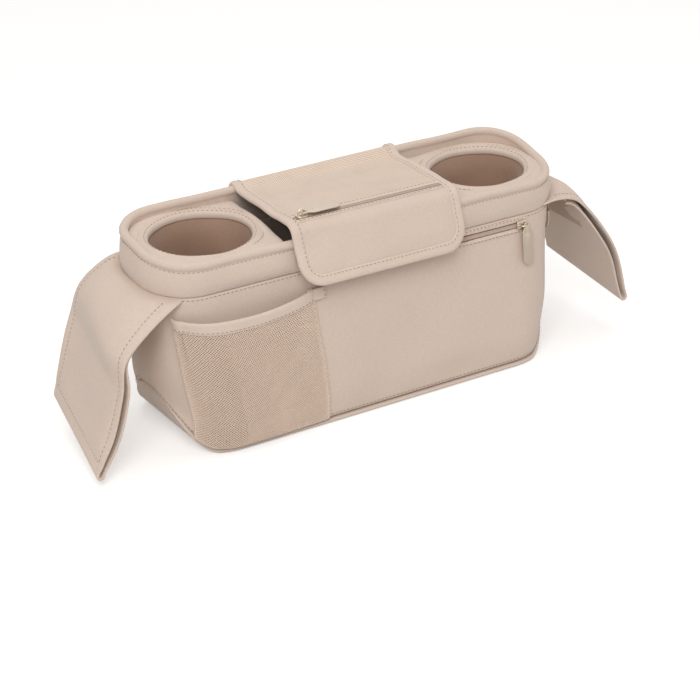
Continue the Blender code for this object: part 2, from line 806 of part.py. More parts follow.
def pocket_station(share):
    """Stations of the net, spread evenly along the cloth from the corner to the front."""
    corner = 0.24
    if share < corner:
        return mix(POCKET_START, 2.0, share / corner)
    return mix(2.0, POCKET_END, (share - corner) / (1 - corner))


def pocket_top(share):
    return POCKET_HEIGHT - POCKET_SAG * sin(pi * share)


def pocket_lift(share, rise):
    """How far the pocket stands off the wall: sewn down at the sides and the bottom, open at the top."""
    across = max(sin(pi * share), 0.0) ** 0.6
    return NET_CLEAR + NET_THICK + POCKET_BULGE * across * min(max(rise, 0.0), 1.0) ** 0.6


def pocket_point(share, z):
    rise = z / pocket_top(share)
    return wall_point(pocket_station(share), z, -pocket_lift(share, rise))


def make_net_pocket():
    """A net of crossing strands, its bound top edge and the tab that ends the binding."""
    bm = bmesh.new()
    bmesh.ops.create_grid(bm, x_segments=2 * NET_CELLS, y_segments=2 * NET_CELLS, size=1.0)
    bmesh.ops.rotate(bm, verts=bm.verts, cent=(0, 0, 0), matrix=Matrix.Rotation(pi / 4, 3, "Z"))
    for axis in (Vector((1, 0, 0)), Vector((0, 1, 0))):
        for side in (-1, 1):
            geometry = bm.verts[:] + bm.edges[:] + bm.faces[:]
            bmesh.ops.bisect_plane(bm, geom=geometry, dist=1e-6, plane_co=axis * side * 0.5,
                                   plane_no=axis * side, clear_outer=True)
    for vert in bm.verts:
        share = vert.co.x + 0.5
        bottom = foot_height(pocket_station(share)) + NET_CLEAR
        top = pocket_top(share) - POCKET_BINDING - 3 * GAP
        vert.co = pocket_point(share, mix(bottom, top, vert.co.y + 0.5))
    cells = list(bm.faces)
    largest = max(face.calc_area() for face in cells)
    full = [face for face in cells if face.calc_area() > 0.3 * largest]
    bmesh.ops.inset_individual(bm, faces=full, thickness=NET_STRAND / 2)
    bmesh.ops.delete(bm, geom=full, context="FACES")
    mesh = bpy.data.meshes.new("net_pocket")
    bm.to_mesh(mesh)
    bm.free()
    thicken(keep("net_pocket", mesh, NET), NET_THICK, even=False)

    def binding(share, rise):
        z = pocket_top(share) - POCKET_BINDING * (1 - rise)
        spot = wall_point(pocket_station(share), z, -pocket_lift(share, z / pocket_top(share)) - GAP)
        return spot
    sheet("net_pocket_binding", CLOTH, binding, steps(0, 1, 14), [0, 1], NET_THICK + 2 * GAP)

    def tab(share, rise):
        z = POCKET_HEIGHT - TAB_WIDTH * (1 - rise)
        spot = wall_point(POCKET_END, z, -NET_THICK - GAP)
        spot.x += GAP + TAB_LENGTH * share
        return spot
    sheet("net_pocket_tab", CLOTH, tab, [0, 1], [0, 1], NET_THICK)


# Handlebar straps

def along_points(points, share):
    """A smooth run through points (Catmull-Rom) at a share of its length."""
    spans = len(points) - 1
    at = min(max(share, 0.0), 1.0) * spans
    i = min(int(at), spans - 1)
    t = at - i
    before = points[i - 1] if i else points[0] * 2 - points[1]
    after = points[i + 2] if i + 2 < len(points) else points[-1] * 2 - points[-2]
    first, second = points[i], points[i + 1]
    return 0.5 * (2 * first + (second - before) * t
                  + (2 * before - 5 * first + 4 * second - after) * t * t
                  + (3 * first - before - 3 * second + after) * t * t * t)


def strap_point(form, share, across):
    """A point of the strap's outer face, as on the left: share runs down from the seam, across to the back.
    The form is its front edge, its back edge and how far its root stands off the wall."""
    front_edge, back_edge, clear = form
    station = mix(STRAP_ROOT_FRONT, STRAP_ROOT_BACK, across)
    stand_off = -(GAP + clear)
    root = wall_point(station, seam_height(station), stand_off)
    front_root = wall_point(STRAP_ROOT_FRONT, seam_height(STRAP_ROOT_FRONT), stand_off)
    back_root = wall_point(STRAP_ROOT_BACK, seam_height(STRAP_ROOT_BACK), stand_off)
    ends = []
    for start, steps_out, edge_y in ((front_root, front_edge, STRAP_EDGE_FRONT_Y),
                                     (back_root, back_edge, STRAP_EDGE_BACK_Y)):
        track = [Vector((start.x - out, 0.0, start.z - down)) for out, down in steps_out]
        spot = along_points(track, share)
        spot.y = mix(start.y, edge_y, share)
        ends.append(spot)
    spot = ends[0].lerp(ends[1], across)
    lead = front_root.lerp(back_root, across)
    fade = max(1 - share / ROOT_FADE, 0.0)
    return spot + (root - lead) * fade


def strap_normal(form, share, across):
    small = 1e-3
    low, high = max(share - small, 0.0), min(share + small, 1.0)
    near, far = max(across - small, 0.0), min(across + small, 1.0)
    down = strap_point(form, high, across) - strap_point(form, low, across)
    over = strap_point(form, share, far) - strap_point(form, share, near)
    return over.cross(down).normalized(), down.normalized()


def strap_columns():
    """Shares of the strap's width that follow the bag's two corners and its end."""
    marks = [(STRAP_ROOT_FRONT, 1, STRAP_CORNER_COLUMNS), (1, -1, 4), (-1, STRAP_ROOT_BACK, STRAP_CORNER_COLUMNS)]
    stations = [station for low, high, count in marks for station in steps(low, high, count)[:-1]]
    stations.append(STRAP_ROOT_BACK)
    return [(STRAP_ROOT_FRONT - station) / (STRAP_ROOT_FRONT - STRAP_ROOT_BACK) for station in stations]


def strap_gap():
    """Room between a strap's two layers: the two patches and the clearances round them."""
    return 2 * PATCH_THICK + 3 * GAP


def make_strap(label, side, form):
    """A strap that leaves the seam, hangs out and down, folds under and runs back up to its patch."""
    stack = 2 * STRAP_CLOTH + strap_gap()
    shares = steps(0, 1, STRAP_ROWS)
    outer = [("outer", share) for share in shares]
    fold = [("fold", turn) for turn in steps(0, pi, 5)[1:-1]]
    inner = [("inner", share) for share in reversed(shares[-RETURN_ROWS - 1:])]
    columns = strap_columns()

    def mirrored(spot):
        return Vector((-spot.x, spot.y, spot.z)) if side > 0 else spot

    def layer(share, across, lift):
        return strap_point(form, share, across) + strap_normal(form, share, across)[0] * lift

    def point(across, station):
        kind, at = station
        if kind == "outer":
            return mirrored(layer(at, across, 0.0))
        if kind == "inner":
            return mirrored(layer(at, across, -stack))
        out, down = strap_normal(form, 1.0, across)
        centre = layer(1.0, across, -stack / 2)
        return mirrored(centre + (out * cos(at) + down * sin(at)) * stack / 2)
    sheet(label + "_strap", CLOTH, point, columns, outer + fold + inner, STRAP_CLOTH, flip=side > 0)

    patch = shares[-RETURN_ROWS - 1:][:PATCH_ROWS + 1]
    corner = STRAP_CORNER_COLUMNS
    for kind, depth in (("loop", STRAP_CLOTH + GAP), ("hook", STRAP_CLOTH + PATCH_THICK + 2 * GAP)):
        def fastener(across, share):
            return mirrored(layer(share, across, -depth))
        name = f"{label}_strap_{kind}_patch"
        sheet(name, HOOK, fastener, columns[corner:-corner], patch, PATCH_THICK, flip=side > 0)


# Rings for a shoulder strap

def make_ring(label, side):
    """A wire D ring in a folded tab that hangs from the seam at the end of the bag."""
    top_z = mix(FRONT_SEAM, BACK_SEAM, depth_share(RING_Y)) - RING_TAB_TOP
    bar_z = top_z - RING_TAB_DROP
    inner_gap = RING_WIRE + GAP
    bend = inner_gap + RING_TAB_THICK
    bar_x = plan_sizes(top_z)[0] + GAP + bend
    legs = [(bar_x - bend, z) for z in steps(top_z, bar_z, 3)]
    turn = [(bar_x + bend * cos(a), bar_z + bend * sin(a)) for a in steps(pi, 2 * pi, 6)[1:]]
    back_up = [(bar_x + bend, z) for z in steps(bar_z, top_z - RING_TAB_THICK, 3)[1:]]
    track = legs + turn + back_up

    def tab(across, station):
        x, z = station
        return Vector((side * x, RING_Y + across * RING_TAB_WIDTH / 2, z))
    sheet(label + "_ring_tab", CLOTH, tab, [-1, 1], track, RING_TAB_THICK, flip=side < 0)

    half = RING_WIDTH / 2
    bottom = bar_z - RING_HEIGHT
    bow = [(half * cos(a), bottom + half + half * sin(a)) for a in steps(pi, 2 * pi, 10)]
    outline = [(side * bar_x, RING_Y + y, z) for y, z in [(-half, bar_z)] + bow + [(half, bar_z)]]
    keep(label + "_ring", tube_mesh(label + "_ring", outline, RING_WIRE, closed=True), METAL)


clear_scene()
bag = collection("stroller_organizer")
cutters = collection("cutters")
front_wall = make_wall("front_wall", FRONT_STATIONS, True)
make_wall("back_wall", BACK_STATIONS, False)
make_yoke("front_yoke", FRONT_STATIONS, True)
make_yoke("back_yoke", BACK_STATIONS, False)
make_base()
make_board()
make_cup("left", -1)
make_cup("right", 1)
make_front_pocket(front_wall)
make_flap()
make_net_pocket()
make_strap("left", -1, (LEFT_FRONT_EDGE, LEFT_BACK_EDGE, LEFT_ROOT_CLEAR))
make_strap("right", 1, (RIGHT_FRONT_EDGE, RIGHT_BACK_EDGE, RIGHT_ROOT_CLEAR))
make_ring("left", -1)
make_ring("right", 1)
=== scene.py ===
"""Looks of a soft stroller organizer: woven cloth, rolled rims, cup wells, a zipped flap,
a net pocket, two hanging straps and their metal fittings. Metres, +Z up."""

from bisect import bisect
from math import asin, atan2, cos, exp, pi, radians, sin, sqrt

import bmesh
import bpy
from mathutils import Matrix, Vector, noise


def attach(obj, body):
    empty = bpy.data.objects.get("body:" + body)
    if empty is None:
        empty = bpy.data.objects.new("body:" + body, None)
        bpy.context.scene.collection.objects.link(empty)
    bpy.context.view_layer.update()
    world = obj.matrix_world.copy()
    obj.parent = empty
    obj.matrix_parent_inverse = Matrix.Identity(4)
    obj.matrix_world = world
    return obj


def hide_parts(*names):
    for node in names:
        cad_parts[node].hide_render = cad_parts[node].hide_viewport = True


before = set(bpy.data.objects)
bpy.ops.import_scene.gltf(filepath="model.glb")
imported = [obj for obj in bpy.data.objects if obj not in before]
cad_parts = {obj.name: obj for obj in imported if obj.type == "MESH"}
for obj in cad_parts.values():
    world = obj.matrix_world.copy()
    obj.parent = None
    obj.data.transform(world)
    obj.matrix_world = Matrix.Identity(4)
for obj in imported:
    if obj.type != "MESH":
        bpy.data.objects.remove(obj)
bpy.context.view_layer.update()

# Sizes of the bag, shared by its pieces. Its filled ends stand fuller at the foot than the plain solids do.
TOP_LENGTH, BASE_LENGTH, PLAIN_BASE_LENGTH = 0.380, 0.361, 0.344
TOP_FRONT, TOP_BACK = 0.0455, 0.0480
BASE_FRONT, BASE_BACK = 0.0610, 0.0590
TOP_CORNER, BASE_CORNER = 0.038, 0.048
BASE_CURL = 0.026
CURL_RUN, CURL_HEIGHT, CURL_TURN = 0.031, 0.040, 1.08
FRONT_SEAM, BACK_SEAM = 0.1290, 0.1375
FRONT_RIM, BACK_RIM = 0.1560, 0.1730
BACK_SLANT = 0.0050   # how much higher the right back corner stands than the left one
WALL = 0.0030
CUP_X, CUP_Y = 0.131, 0.001
CUP_LENGTH, CUP_WIDTH = 0.086, 0.067
CUP_TOP_HEIGHT, CUP_TOP_SLOPE = 0.1575, 0.09
CUP_FLOOR_HEIGHT, CUP_TAPER = 0.030, 0.76
CUP_END_X = 0.0790
FLAP_WIDTH, FLAP_BACK_HEIGHT = 0.154, 0.1700
FLAP_FOLD_Y, FLAP_FOLD_HEIGHT, FLAP_FOLD_RADIUS = -0.0370, 0.1680, 0.0130
FLAP_EDGE_Y, FLAP_EDGE_HEIGHT, FLAP_CORNER = -0.0640, 0.1220, 0.020
BINDING_WIDTH = 0.008
ZIP_HALF = 0.0040
FRONT_ZIP_LEFT, FRONT_ZIP_RIGHT, FRONT_ZIP_HEIGHT = -0.0400, 0.1470, 0.1210
POCKET_START, POCKET_END = 1.5, 2.58
POCKET_HEIGHT, POCKET_SAG, POCKET_BULGE, POCKET_BINDING = 0.1140, 0.0035, 0.0115, 0.0090
STRAP_ROOT_FRONT, STRAP_ROOT_BACK = 1.75, -1.67
STRAP_EDGE_FRONT_Y, STRAP_EDGE_BACK_Y = -0.0565, 0.0500
RING_Y = -0.009


# Small maths

def mix(a, b, share):
    return a + (b - a) * share


def steps(low, high, count):
    return [mix(low, high, i / count) for i in range(count + 1)]


def clamp(value, low=0.0, high=1.0):
    return min(max(value, low), high)


def ease(low, high, value):
    """0 below low, 1 above high, smooth between."""
    t = clamp((value - low) / (high - low))
    return t * t * (3 - 2 * t)


def dent(distance, width):
    """1 at a seam, falling off to both sides."""
    return exp(-(distance / width) ** 2)


def creased(spot, *layers):
    """Creases laid over each other, each as (size, seed, depth)."""
    return sum(noise.noise(Vector((spot.x / size + seed, spot.y / size, spot.z / size))) * depth
               for size, seed, depth in layers)


def along_points(points, share):
    """A smooth run through points (Catmull-Rom) at a share of its length."""
    spans = len(points) - 1
    at = clamp(share) * spans
    i = min(int(at), spans - 1)
    t = at - i
    before = points[i - 1] if i else points[0] * 2 - points[1]
    after = points[i + 2] if i + 2 < len(points) else points[-1] * 2 - points[-2]
    first, second = points[i], points[i + 1]
    return 0.5 * (2 * first + (second - before) * t
                  + (2 * before - 5 * first + 4 * second - after) * t * t
                  + (3 * first - before - 3 * second + after) * t * t * t)


# Materials

class Socket:
    """A shader value that takes part in Python expressions."""

    def __init__(self, finish, output):
        self.finish, self.output = finish, output

    def _maths(self, operation, first, second=None):
        return self.finish.node("Math", {"operation": operation}, {0: first, 1: second})

    def __add__(self, other): return self._maths("ADD", self, other)
    def __radd__(self, other): return self._maths("ADD", other, self)
    def __sub__(self, other): return self._maths("SUBTRACT", self, other)
    def __rsub__(self, other): return self._maths("SUBTRACT", other, self)
    def __mul__(self, other): return self._maths("MULTIPLY", self, other)
    def __rmul__(self, other): return self._maths("MULTIPLY", other, self)
    def most(self, other): return self._maths("MAXIMUM", self, other)
    def wave(self): return self._maths("SINE", self)
    def least(self, other): return self._maths("MINIMUM", self, other)
    def clamped(self): return self.most(0.0).least(1.0)


class Nodes:
    """The node tree of a material or world."""

    def __init__(self, owner, emptied=True):
        owner.use_nodes = True
        self.tree = owner.node_tree
        if emptied:
            self.tree.nodes.clear()

    def node(self, kind, settings, values, output=0):
        new = self.tree.nodes.new("ShaderNode" + kind)
        for key, value in settings.items():
            setattr(new, key, value)
        for key, value in values.items():
            self.feed(new.inputs[key], value)
        return Socket(self, new.outputs[output]) if new.outputs else None

    def feed(self, socket, value):
        if isinstance(value, Socket):
            self.tree.links.new(value.output, socket)
        elif value is not None:
            socket.default_value = value


class Finish(Nodes):
    """One material of the bag, on its Principled shader."""

    def __init__(self, name, roughness=0.9, metallic=0.0, **settings):
        self.material = bpy.data.materials.new(name)
        super().__init__(self.material, emptied=False)
        self.shader = next(n for n in self.tree.nodes if n.type == "BSDF_PRINCIPLED")
        for socket, value in {"Roughness": roughness, "Metallic": metallic, **settings}.items():
            self.shader.inputs[socket.replace("_", " ")].default_value = value

    def place(self, kind="Object"):
        """Object or UV coordinates, in metres."""
        return self.node("TexCoord", {}, {}, kind)

    def scaled(self, vector, scale, turn=0.0):
        return self.node("Mapping", {}, {"Vector": vector, "Scale": scale, "Rotation": (0, 0, turn)})

    def cloud(self, vector, scale, detail=2.0):
        return self.node("TexNoise", {}, {"Vector": vector, "Scale": scale, "Detail": detail})

    def axes(self, vector):
        new = self.node("SeparateXYZ", {}, {0: vector})
        return [Socket(self, new.output.node.outputs[i]) for i in range(3)]

    def blend(self, share, first, second):
        return self.node("Mix", {"data_type": "RGBA"}, {0: share, 6: first, 7: second}, 2)

    def bump(self, height, depth, strength=1.0):
        normal = self.node("Bump", {}, {"Height": height, "Distance": depth, "Strength": strength})
        self.feed(self.shader.inputs["Normal"], normal)

    def colour(self, value):
        self.feed(self.shader.inputs["Base Color"], value)


def shade(colour, factor):
    return tuple(channel * factor for channel in colour) + (1.0,)


BLUSH = (0.680, 0.560, 0.478)
THREAD = (0.380, 0.280, 0.220)
NET_YARN = (0.900, 0.725, 0.600)
# The inside cloth: the same fabric a little darker, darkened further and made more saturated as painted shade.
INSIDE_DARKER_AND_SHADED = (0.450, 0.300, 0.220)
WELL_PAINTED_SHADE = (0.310, 0.180, 0.118)
CHAMPAGNE = (0.640, 0.545, 0.440)
HOOK_BROWN = (0.520, 0.420, 0.350)
PAINTED_SHADE_FROM, PAINTED_SHADE_TO = 0.160, 0.112   # heights between which painted shade darkens the inside cloth, lower down a well
SLUB_WIDE, SLUB_LONG = 0.0007, 0.0045
WEAVE_DEPTH, MOTTLE = 0.00006, 0.10


def woven(name, colour, thread=0.00055, deep=None):
    """Plain-weave cloth: crossed yarns, slubs and a little cloudiness. deep is a darker colour blended in lower
    down, as painted shade down a well.
    """
    cloth = Finish(name, roughness=0.92, Sheen_Weight=0.25, Sheen_Roughness=0.5)
    across, down, _ = cloth.axes(cloth.place("UV"))
    pitch = pi / thread
    weave = (across * pitch).wave() * (down * pitch).wave() * 0.5 + 0.5
    slub_u, slub_v = (cloth.cloud(cloth.scaled(cloth.place("UV"), (1 / u, 1 / v, 1)), 1.0)
                      for u, v in ((SLUB_WIDE, SLUB_LONG), (SLUB_LONG, SLUB_WIDE)))
    slubs = (slub_u + slub_v) * 0.5
    fine = cloth.cloud(cloth.place(), 900.0, 3.0)
    large = cloth.cloud(cloth.place(), 14.0, 3.0)
    tone = slubs * 0.55 + fine * 0.30 + large * 0.15
    sharp = ((tone - 0.5) * 3.4 + 0.5).clamped()
    face = cloth.blend(sharp, shade(colour, 1 - MOTTLE), shade(colour, 1 + MOTTLE * 0.55))
    if deep:
        # Painted shade: the cloth blends to a darker colour lower down, by height, as shade down a well.
        height = cloth.axes(cloth.place())[2]
        shade_share = ((PAINTED_SHADE_FROM - height) * (1 / (PAINTED_SHADE_FROM - PAINTED_SHADE_TO))).clamped()
        face = cloth.blend(shade_share, face, cloth.blend(sharp, shade(deep, 1 - MOTTLE), shade(deep, 1 + MOTTLE)))
    cloth.colour(face)
    cloth.bump(weave * 0.5 + slubs, WEAVE_DEPTH)
    return cloth.material


def mesh_cloth(name, colour, hole=0.0021):
    """Fine open mesh: rows of small dark holes on the bias."""
    cloth = Finish(name, roughness=0.85, Sheen_Weight=0.15)
    across, down, _ = cloth.axes(cloth.scaled(cloth.place("UV"), (1, 1, 1), pi / 4))
    pitch = 2 * pi / hole
    holes = ((across * pitch).wave() * (down * pitch).wave() * 1.6 + 0.1).clamped()
    large = cloth.cloud(cloth.place(), 60.0, 3.0)
    tone = (holes * 0.85 + (large - 0.5) * 0.3).clamped()
    cloth.colour(cloth.blend(tone, shade(colour, 1.14), shade(colour, 0.46)))
    cloth.bump(1 - holes, 0.0003)
    return cloth.material


def plain(name, colour, roughness, metallic=0.0, grain=0.0, size=500.0, **settings):
    """A smooth finish with a faint grain."""
    look = Finish(name, roughness=roughness, metallic=metallic, **settings)
    speck = look.cloud(look.place(), size, 2.0)
    look.colour(look.blend(speck, shade(colour, 1 - grain), shade(colour, 1 + grain)))
    if grain:
        look.bump(speck, 0.00002, 0.4)
    return look.material


CLOTH = woven("blush woven cloth", BLUSH)
BINDING = woven("blush binding", tuple(c * 1.03 for c in BLUSH), 0.00045)
# Painted shade: the inside cloth's colour is darker than the fabric's own, and darker still low down.
INSIDE = woven("inside cloth", INSIDE_DARKER_AND_SHADED, deep=WELL_PAINTED_SHADE)
FLAP_MESH = mesh_cloth("fine mesh", (0.800, 0.650, 0.540))
NET = plain("net yarn", NET_YARN, 0.8, grain=0.18, size=900.0, Sheen_Weight=0.2)
# Painted shade: a dark colour for the sheet behind the net, seen through its holes.
NET_SHADE = plain("shade behind the net", (0.330, 0.225, 0.165), 0.95, grain=0.12, size=300.0)
# Painted shade: the zip tapes are coloured dark so the narrow gaps beside the chain read as shaded lines.
TAPE_IN_PAINTED_SHADE = woven("zip tape", (0.190, 0.130, 0.100), 0.0004)
COIL = plain("zip coil", (0.600, 0.450, 0.385), 0.42, grain=0.05)
STITCH = plain("stitching thread", THREAD, 0.7, grain=0.1)
METAL = plain("champagne metal", CHAMPAGNE, 0.30, metallic=1.0, size=300.0)
HOOKS = plain("hook and loop", HOOK_BROWN, 0.95, grain=0.25, size=1400.0)
BOARD = plain("base board", HOOK_BROWN, 0.6, grain=0.05)


# Surfaces

class Form:
    """A curved surface with a point for each (u, v); lift moves out from it, inwards on a negative side."""

    def __init__(self, point, side=1):
        self.point, self.side = point, side

    def out(self, u, v, small=1e-3):
        along = self.point(u + small, v) - self.point(u - small, v)
        over = self.point(u, v + small) - self.point(u, v - small)
        return along.cross(over).normalized() * self.side

    def at(self, u, v, lift=0.0):
        spot = self.point(u, v)
        return spot + self.out(u, v) * lift if lift else spot

    def line(self, places, lift=0.0):
        """Points and normals at (u, v) places, for a row of stitches."""
        return [(self.at(u, v, lift), self.out(u, v)) for u, v in places]


def baked(name, bm):
    """The mesh of a bmesh, which is freed."""
    mesh = bpy.data.meshes.new(name)
    bm.to_mesh(mesh)
    bm.free()
    return mesh


def linked(name, data):
    """A new object of the scene."""
    new = bpy.data.objects.new(name, data)
    bpy.context.scene.collection.objects.link(new)
    return new


def finished(name, bm, look, nodes=(), body="bag"):
    """The object of a bmesh, riding on its body."""
    mesh = baked(name, bm)
    piece = linked(name, mesh)
    mesh.materials.append(look)
    mesh.shade_smooth()
    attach(piece, body)
    if nodes:
        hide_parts(*nodes)
    return piece


def run_lengths(spots):
    """How far along a run of points each of them lies."""
    marks = [0.0]
    for first, second in zip(spots, spots[1:]):
        marks.append(marks[-1] + (second - first).length)
    return marks


def grid(columns, rows, place, side=1, wrapped=False):
    """A grid laid over the (u, v) pairs of columns and rows, with its UVs in metres."""
    bm = bmesh.new()
    count_u, count_v = len(columns) - 1, len(rows) - 1
    bmesh.ops.create_grid(bm, x_segments=count_u, y_segments=count_v, size=1.0, calc_uvs=True)
    index = {v: (round((v.co.x + 1) / 2 * count_u), round((v.co.y + 1) / 2 * count_v)) for v in bm.verts}
    spots = {(i, j): place(u, v) for i, u in enumerate(columns) for j, v in enumerate(rows)}
    along = run_lengths([spots[i, count_v // 2] for i in range(count_u + 1)])
    over = run_lengths([spots[count_u // 2, j] for j in range(count_v + 1)])
    layer = bm.loops.layers.uv.active or bm.loops.layers.uv.new("UVMap")
    for face in bm.faces:
        for loop in face.loops:
            i, j = index[loop.vert]
            loop[layer].uv = (along[i], over[j])
    for vert, at in index.items():
        vert.co = spots[at]
    if side < 0:
        bmesh.ops.reverse_faces(bm, faces=bm.faces)
    if wrapped:
        bmesh.ops.remove_doubles(bm, verts=bm.verts, dist=1e-6)
    return bm


def softened(name, bm, look, nodes=(), thick=0.0):
    """A cloth piece with its thickness, rounded."""
    piece = finished(name, bm, look, nodes)
    if thick:
        shell = piece.modifiers.new("thickness", "SOLIDIFY")
        shell.thickness = thick
        shell.offset = -1.0
        shell.use_even_offset = False
    smooth = piece.modifiers.new("smooth", "SUBSURF")
    smooth.levels = smooth.render_levels = 1


def sheet(name, columns, rows, place, side, look, nodes=(), thick=0.0, wrapped=False):
    softened(name, grid(columns, rows, place, side, wrapped), look, nodes, thick)


def band(name, columns, section, place, side, look, nodes=(), fine=2):
    """A closed band of cloth: place(u, share) runs round its section at every column."""
    sheet(name, columns, steps(0, 1, len(section) * fine), place, side, look, nodes, wrapped=True)


def parts(*spans):
    """Steps through spans of (low, high, count) that follow each other."""
    return [at for low, high, count in spans for at in steps(low, high, count)[:-1]] + [spans[-1][1]]


# Wires and plates

def placed(spot, first, second, third):
    """The place at spot whose own axes point along three directions."""
    return Matrix.Translation(spot) @ Matrix((first, second, third)).transposed().to_4x4()


def arc(centre, radius, start, end, count=8):
    return [(centre[0] + radius * cos(a), centre[1] + radius * sin(a)) for a in steps(start, end, count)]


def new_curve(dimensions, radius, resolution):
    curve = bpy.data.curves.new("guide", "CURVE")
    curve.dimensions = dimensions
    curve.bevel_depth = radius
    curve.bevel_resolution = resolution
    return curve


def add_run(curve, points, closed):
    line = curve.splines.new("POLY")
    line.points.add(len(points) - 1)
    for at, spot in zip(line.points, points):
        at.co = (*spot, 1.0)
    line.use_cyclic_u = closed


def curve_mesh(curve):
    """The mesh of a curve."""
    guide = linked("guide", curve)
    bpy.context.view_layer.update()
    mesh = bpy.data.meshes.new_from_object(guide.evaluated_get(bpy.context.evaluated_depsgraph_get()))
    bpy.data.objects.remove(guide)
    return mesh


def tube(points, radius, closed=False):
    """A round wire along points."""
    curve = new_curve("3D", radius, 4)
    curve.use_fill_caps = not closed
    add_run(curve, points, closed)
    return curve_mesh(curve)


def plate(bm, outline, thick, place, bevel=0.0003, holes=()):
    """Adds a flat plate with rounded edges, from its outline in its own plane."""
    curve = new_curve("2D", bevel, 2)
    curve.fill_mode = "BOTH"
    curve.extrude = thick / 2 - bevel
    curve.offset = -bevel
    for loop in (outline, *holes):
        add_run(curve, [(x, y, 0.0) for x, y in loop], True)
    part = bmesh.new()
    absorb(part, curve_mesh(curve))
    bmesh.ops.remove_doubles(part, verts=part.verts, dist=1e-6)
    bmesh.ops.transform(part, matrix=place, verts=part.verts)
    absorb(bm, baked("plate", part))


def absorb(bm, mesh):
    """Adds a mesh to a bmesh and removes it."""
    bm.from_mesh(mesh)
    bpy.data.meshes.remove(mesh)


# Stitches

STITCH_LONG, STITCH_GAP, STITCH_WIDE, STITCH_HIGH = 0.0025, 0.0012, 0.00070, 0.00050
STITCH_SIZE = Matrix.Diagonal((STITCH_LONG, STITCH_WIDE, STITCH_HIGH, 1.0))


def stitch_row(bm, line):
    """Lays capsule stitches end to end along a run of (point, normal)."""
    marks = run_lengths([spot for spot, _ in line])
    whole = marks[-1]
    count = max(1, round(whole / (STITCH_LONG + STITCH_GAP)))
    pitch = whole / count

    def spot(distance):
        distance = clamp(distance, 0.0, whole)
        low = clamp(bisect(marks, distance) - 1, 0, len(marks) - 2)
        (start, start_out), (end, end_out) = line[low:low + 2]
        share = (distance - marks[low]) / max(marks[low + 1] - marks[low], 1e-9)
        return start.lerp(end, share), start_out.lerp(end_out, share).normalized()

    for i in range(count):
        start, _ = spot(i * pitch + (pitch - STITCH_LONG) / 2)
        end, _ = spot(i * pitch + (pitch + STITCH_LONG) / 2)
        middle, out = spot((i + 0.5) * pitch)
        ahead = (end - start).normalized()
        if ahead.length < 0.5:
            continue
        sideways = out.cross(ahead).normalized()
        out = ahead.cross(sideways)
        place = placed(middle + out * STITCH_HIGH * 0.2, ahead, sideways, out)
        bmesh.ops.create_icosphere(bm, subdivisions=1, radius=0.5, matrix=place @ STITCH_SIZE)


def stitching(name, *lines):
    """The stitches of one or more rows as one piece."""
    bm = bmesh.new()
    for line in lines:
        stitch_row(bm, line)
    finished(name, bm, STITCH)


# The body's shape

def plan_sizes(z, lift=0.0):
    """Half length, front, back and corner radius of the plan at height z."""
    rise = clamp((z - BASE_CURL) / (FRONT_SEAM - BASE_CURL))
    return (mix(BASE_LENGTH, TOP_LENGTH, rise) / 2 + lift, -mix(BASE_FRONT, TOP_FRONT, rise) - lift,
            mix(BASE_BACK, TOP_BACK, rise) + lift, mix(BASE_CORNER, TOP_CORNER, rise) + lift)


def plan_point(station, z, lift=0.0):
    """A point round the plan, counter-clockwise from above.

    Stations: 0 the left end, 2 to 4 the front, 6 the right end, 8 to 10 the back, and corners between."""
    half, front, back, radius = plan_sizes(z, lift)
    middle = (front + back) / 2
    left, right = -half + radius, half - radius
    low, high = front + radius, back - radius
    s = station % 12
    corners = {1: (left, low, pi), 4: (right, low, 1.5 * pi), 7: (right, high, 0.0), 10: (left, high, pi / 2)}
    if int(s) in corners:
        x, y, start = corners[int(s)]
        turn = start + (s - int(s)) * pi / 2
        return Vector((x + radius * cos(turn), y + radius * sin(turn), z))
    if 2 <= s < 4:
        return Vector((mix(left, right, (s - 2) / 2), front, z))
    if 8 <= s < 10:
        return Vector((mix(right, left, (s - 8) / 2), back, z))
    if s < 1:
        return Vector((-half, mix(middle, low, s), z))
    if s > 10:
        return Vector((-half, mix(high, middle, s - 11), z))
    return Vector((half, mix(low, middle, s - 5) if s < 6 else mix(middle, high, s - 6), z))


def depth_share(y):
    return (y + TOP_FRONT) / (TOP_FRONT + TOP_BACK)


def seam_height(station):
    return mix(FRONT_SEAM, BACK_SEAM, depth_share(plan_point(station, FRONT_SEAM).y))


def rim_height(station):
    """The rim rises to the back; the soft back corners stand a little uneven."""
    spot = plan_point(station, FRONT_SEAM)
    share = depth_share(spot.y)
    return mix(FRONT_RIM, BACK_RIM, share) + BACK_SLANT * spot.x / TOP_LENGTH * ease(0.3, 1.0, share)


BASE_FLAT = BASE_LENGTH / 2 - CURL_RUN
FOOT_GAP = 0.0008


def base_rise(turn):
    return CURL_HEIGHT * (1 - cos(turn)) / (1 - cos(CURL_TURN))


def foot_height(station):
    """Where the wall meets the base sheet, which turns up at both ends."""
    past = abs(plan_point(station, 0.0).x) - BASE_FLAT
    turn = asin(clamp(past / CURL_RUN) * sin(CURL_TURN))
    return base_rise(turn) + WALL * cos(turn) + FOOT_GAP


HOLLOW_DROP, HOLLOW_WIDE, HOLLOW_HIGH, HOLLOW_DEPTH = 0.036, 0.019, 0.021, 0.0022


def ring_hollow(spot):
    """1 where an end wall gives way under its ring, 0 well away from it."""
    low = mix(FRONT_SEAM, BACK_SEAM, depth_share(RING_Y)) - HOLLOW_DROP
    near = dent(spot.y - RING_Y, HOLLOW_WIDE) * dent(spot.z - low, HOLLOW_HIGH)
    return near * ease(0.120, 0.150, abs(spot.x))


WALL_FULL = 0.0016
WALL_CREASES = (0.055, 3.1, 0.0026), (0.022, 7.7, 0.0008)
SEAM_GROOVE, SEAM_GROOVE_WIDE, FOOT_GROOVE, FOOT_GROOVE_WIDE = 0.0007, 0.0016, 0.0006, 0.002
FLAT_FRONT_FROM, FLAT_FRONT_TO = 0.062, 0.100   # the front is held flat above these heights by its zip


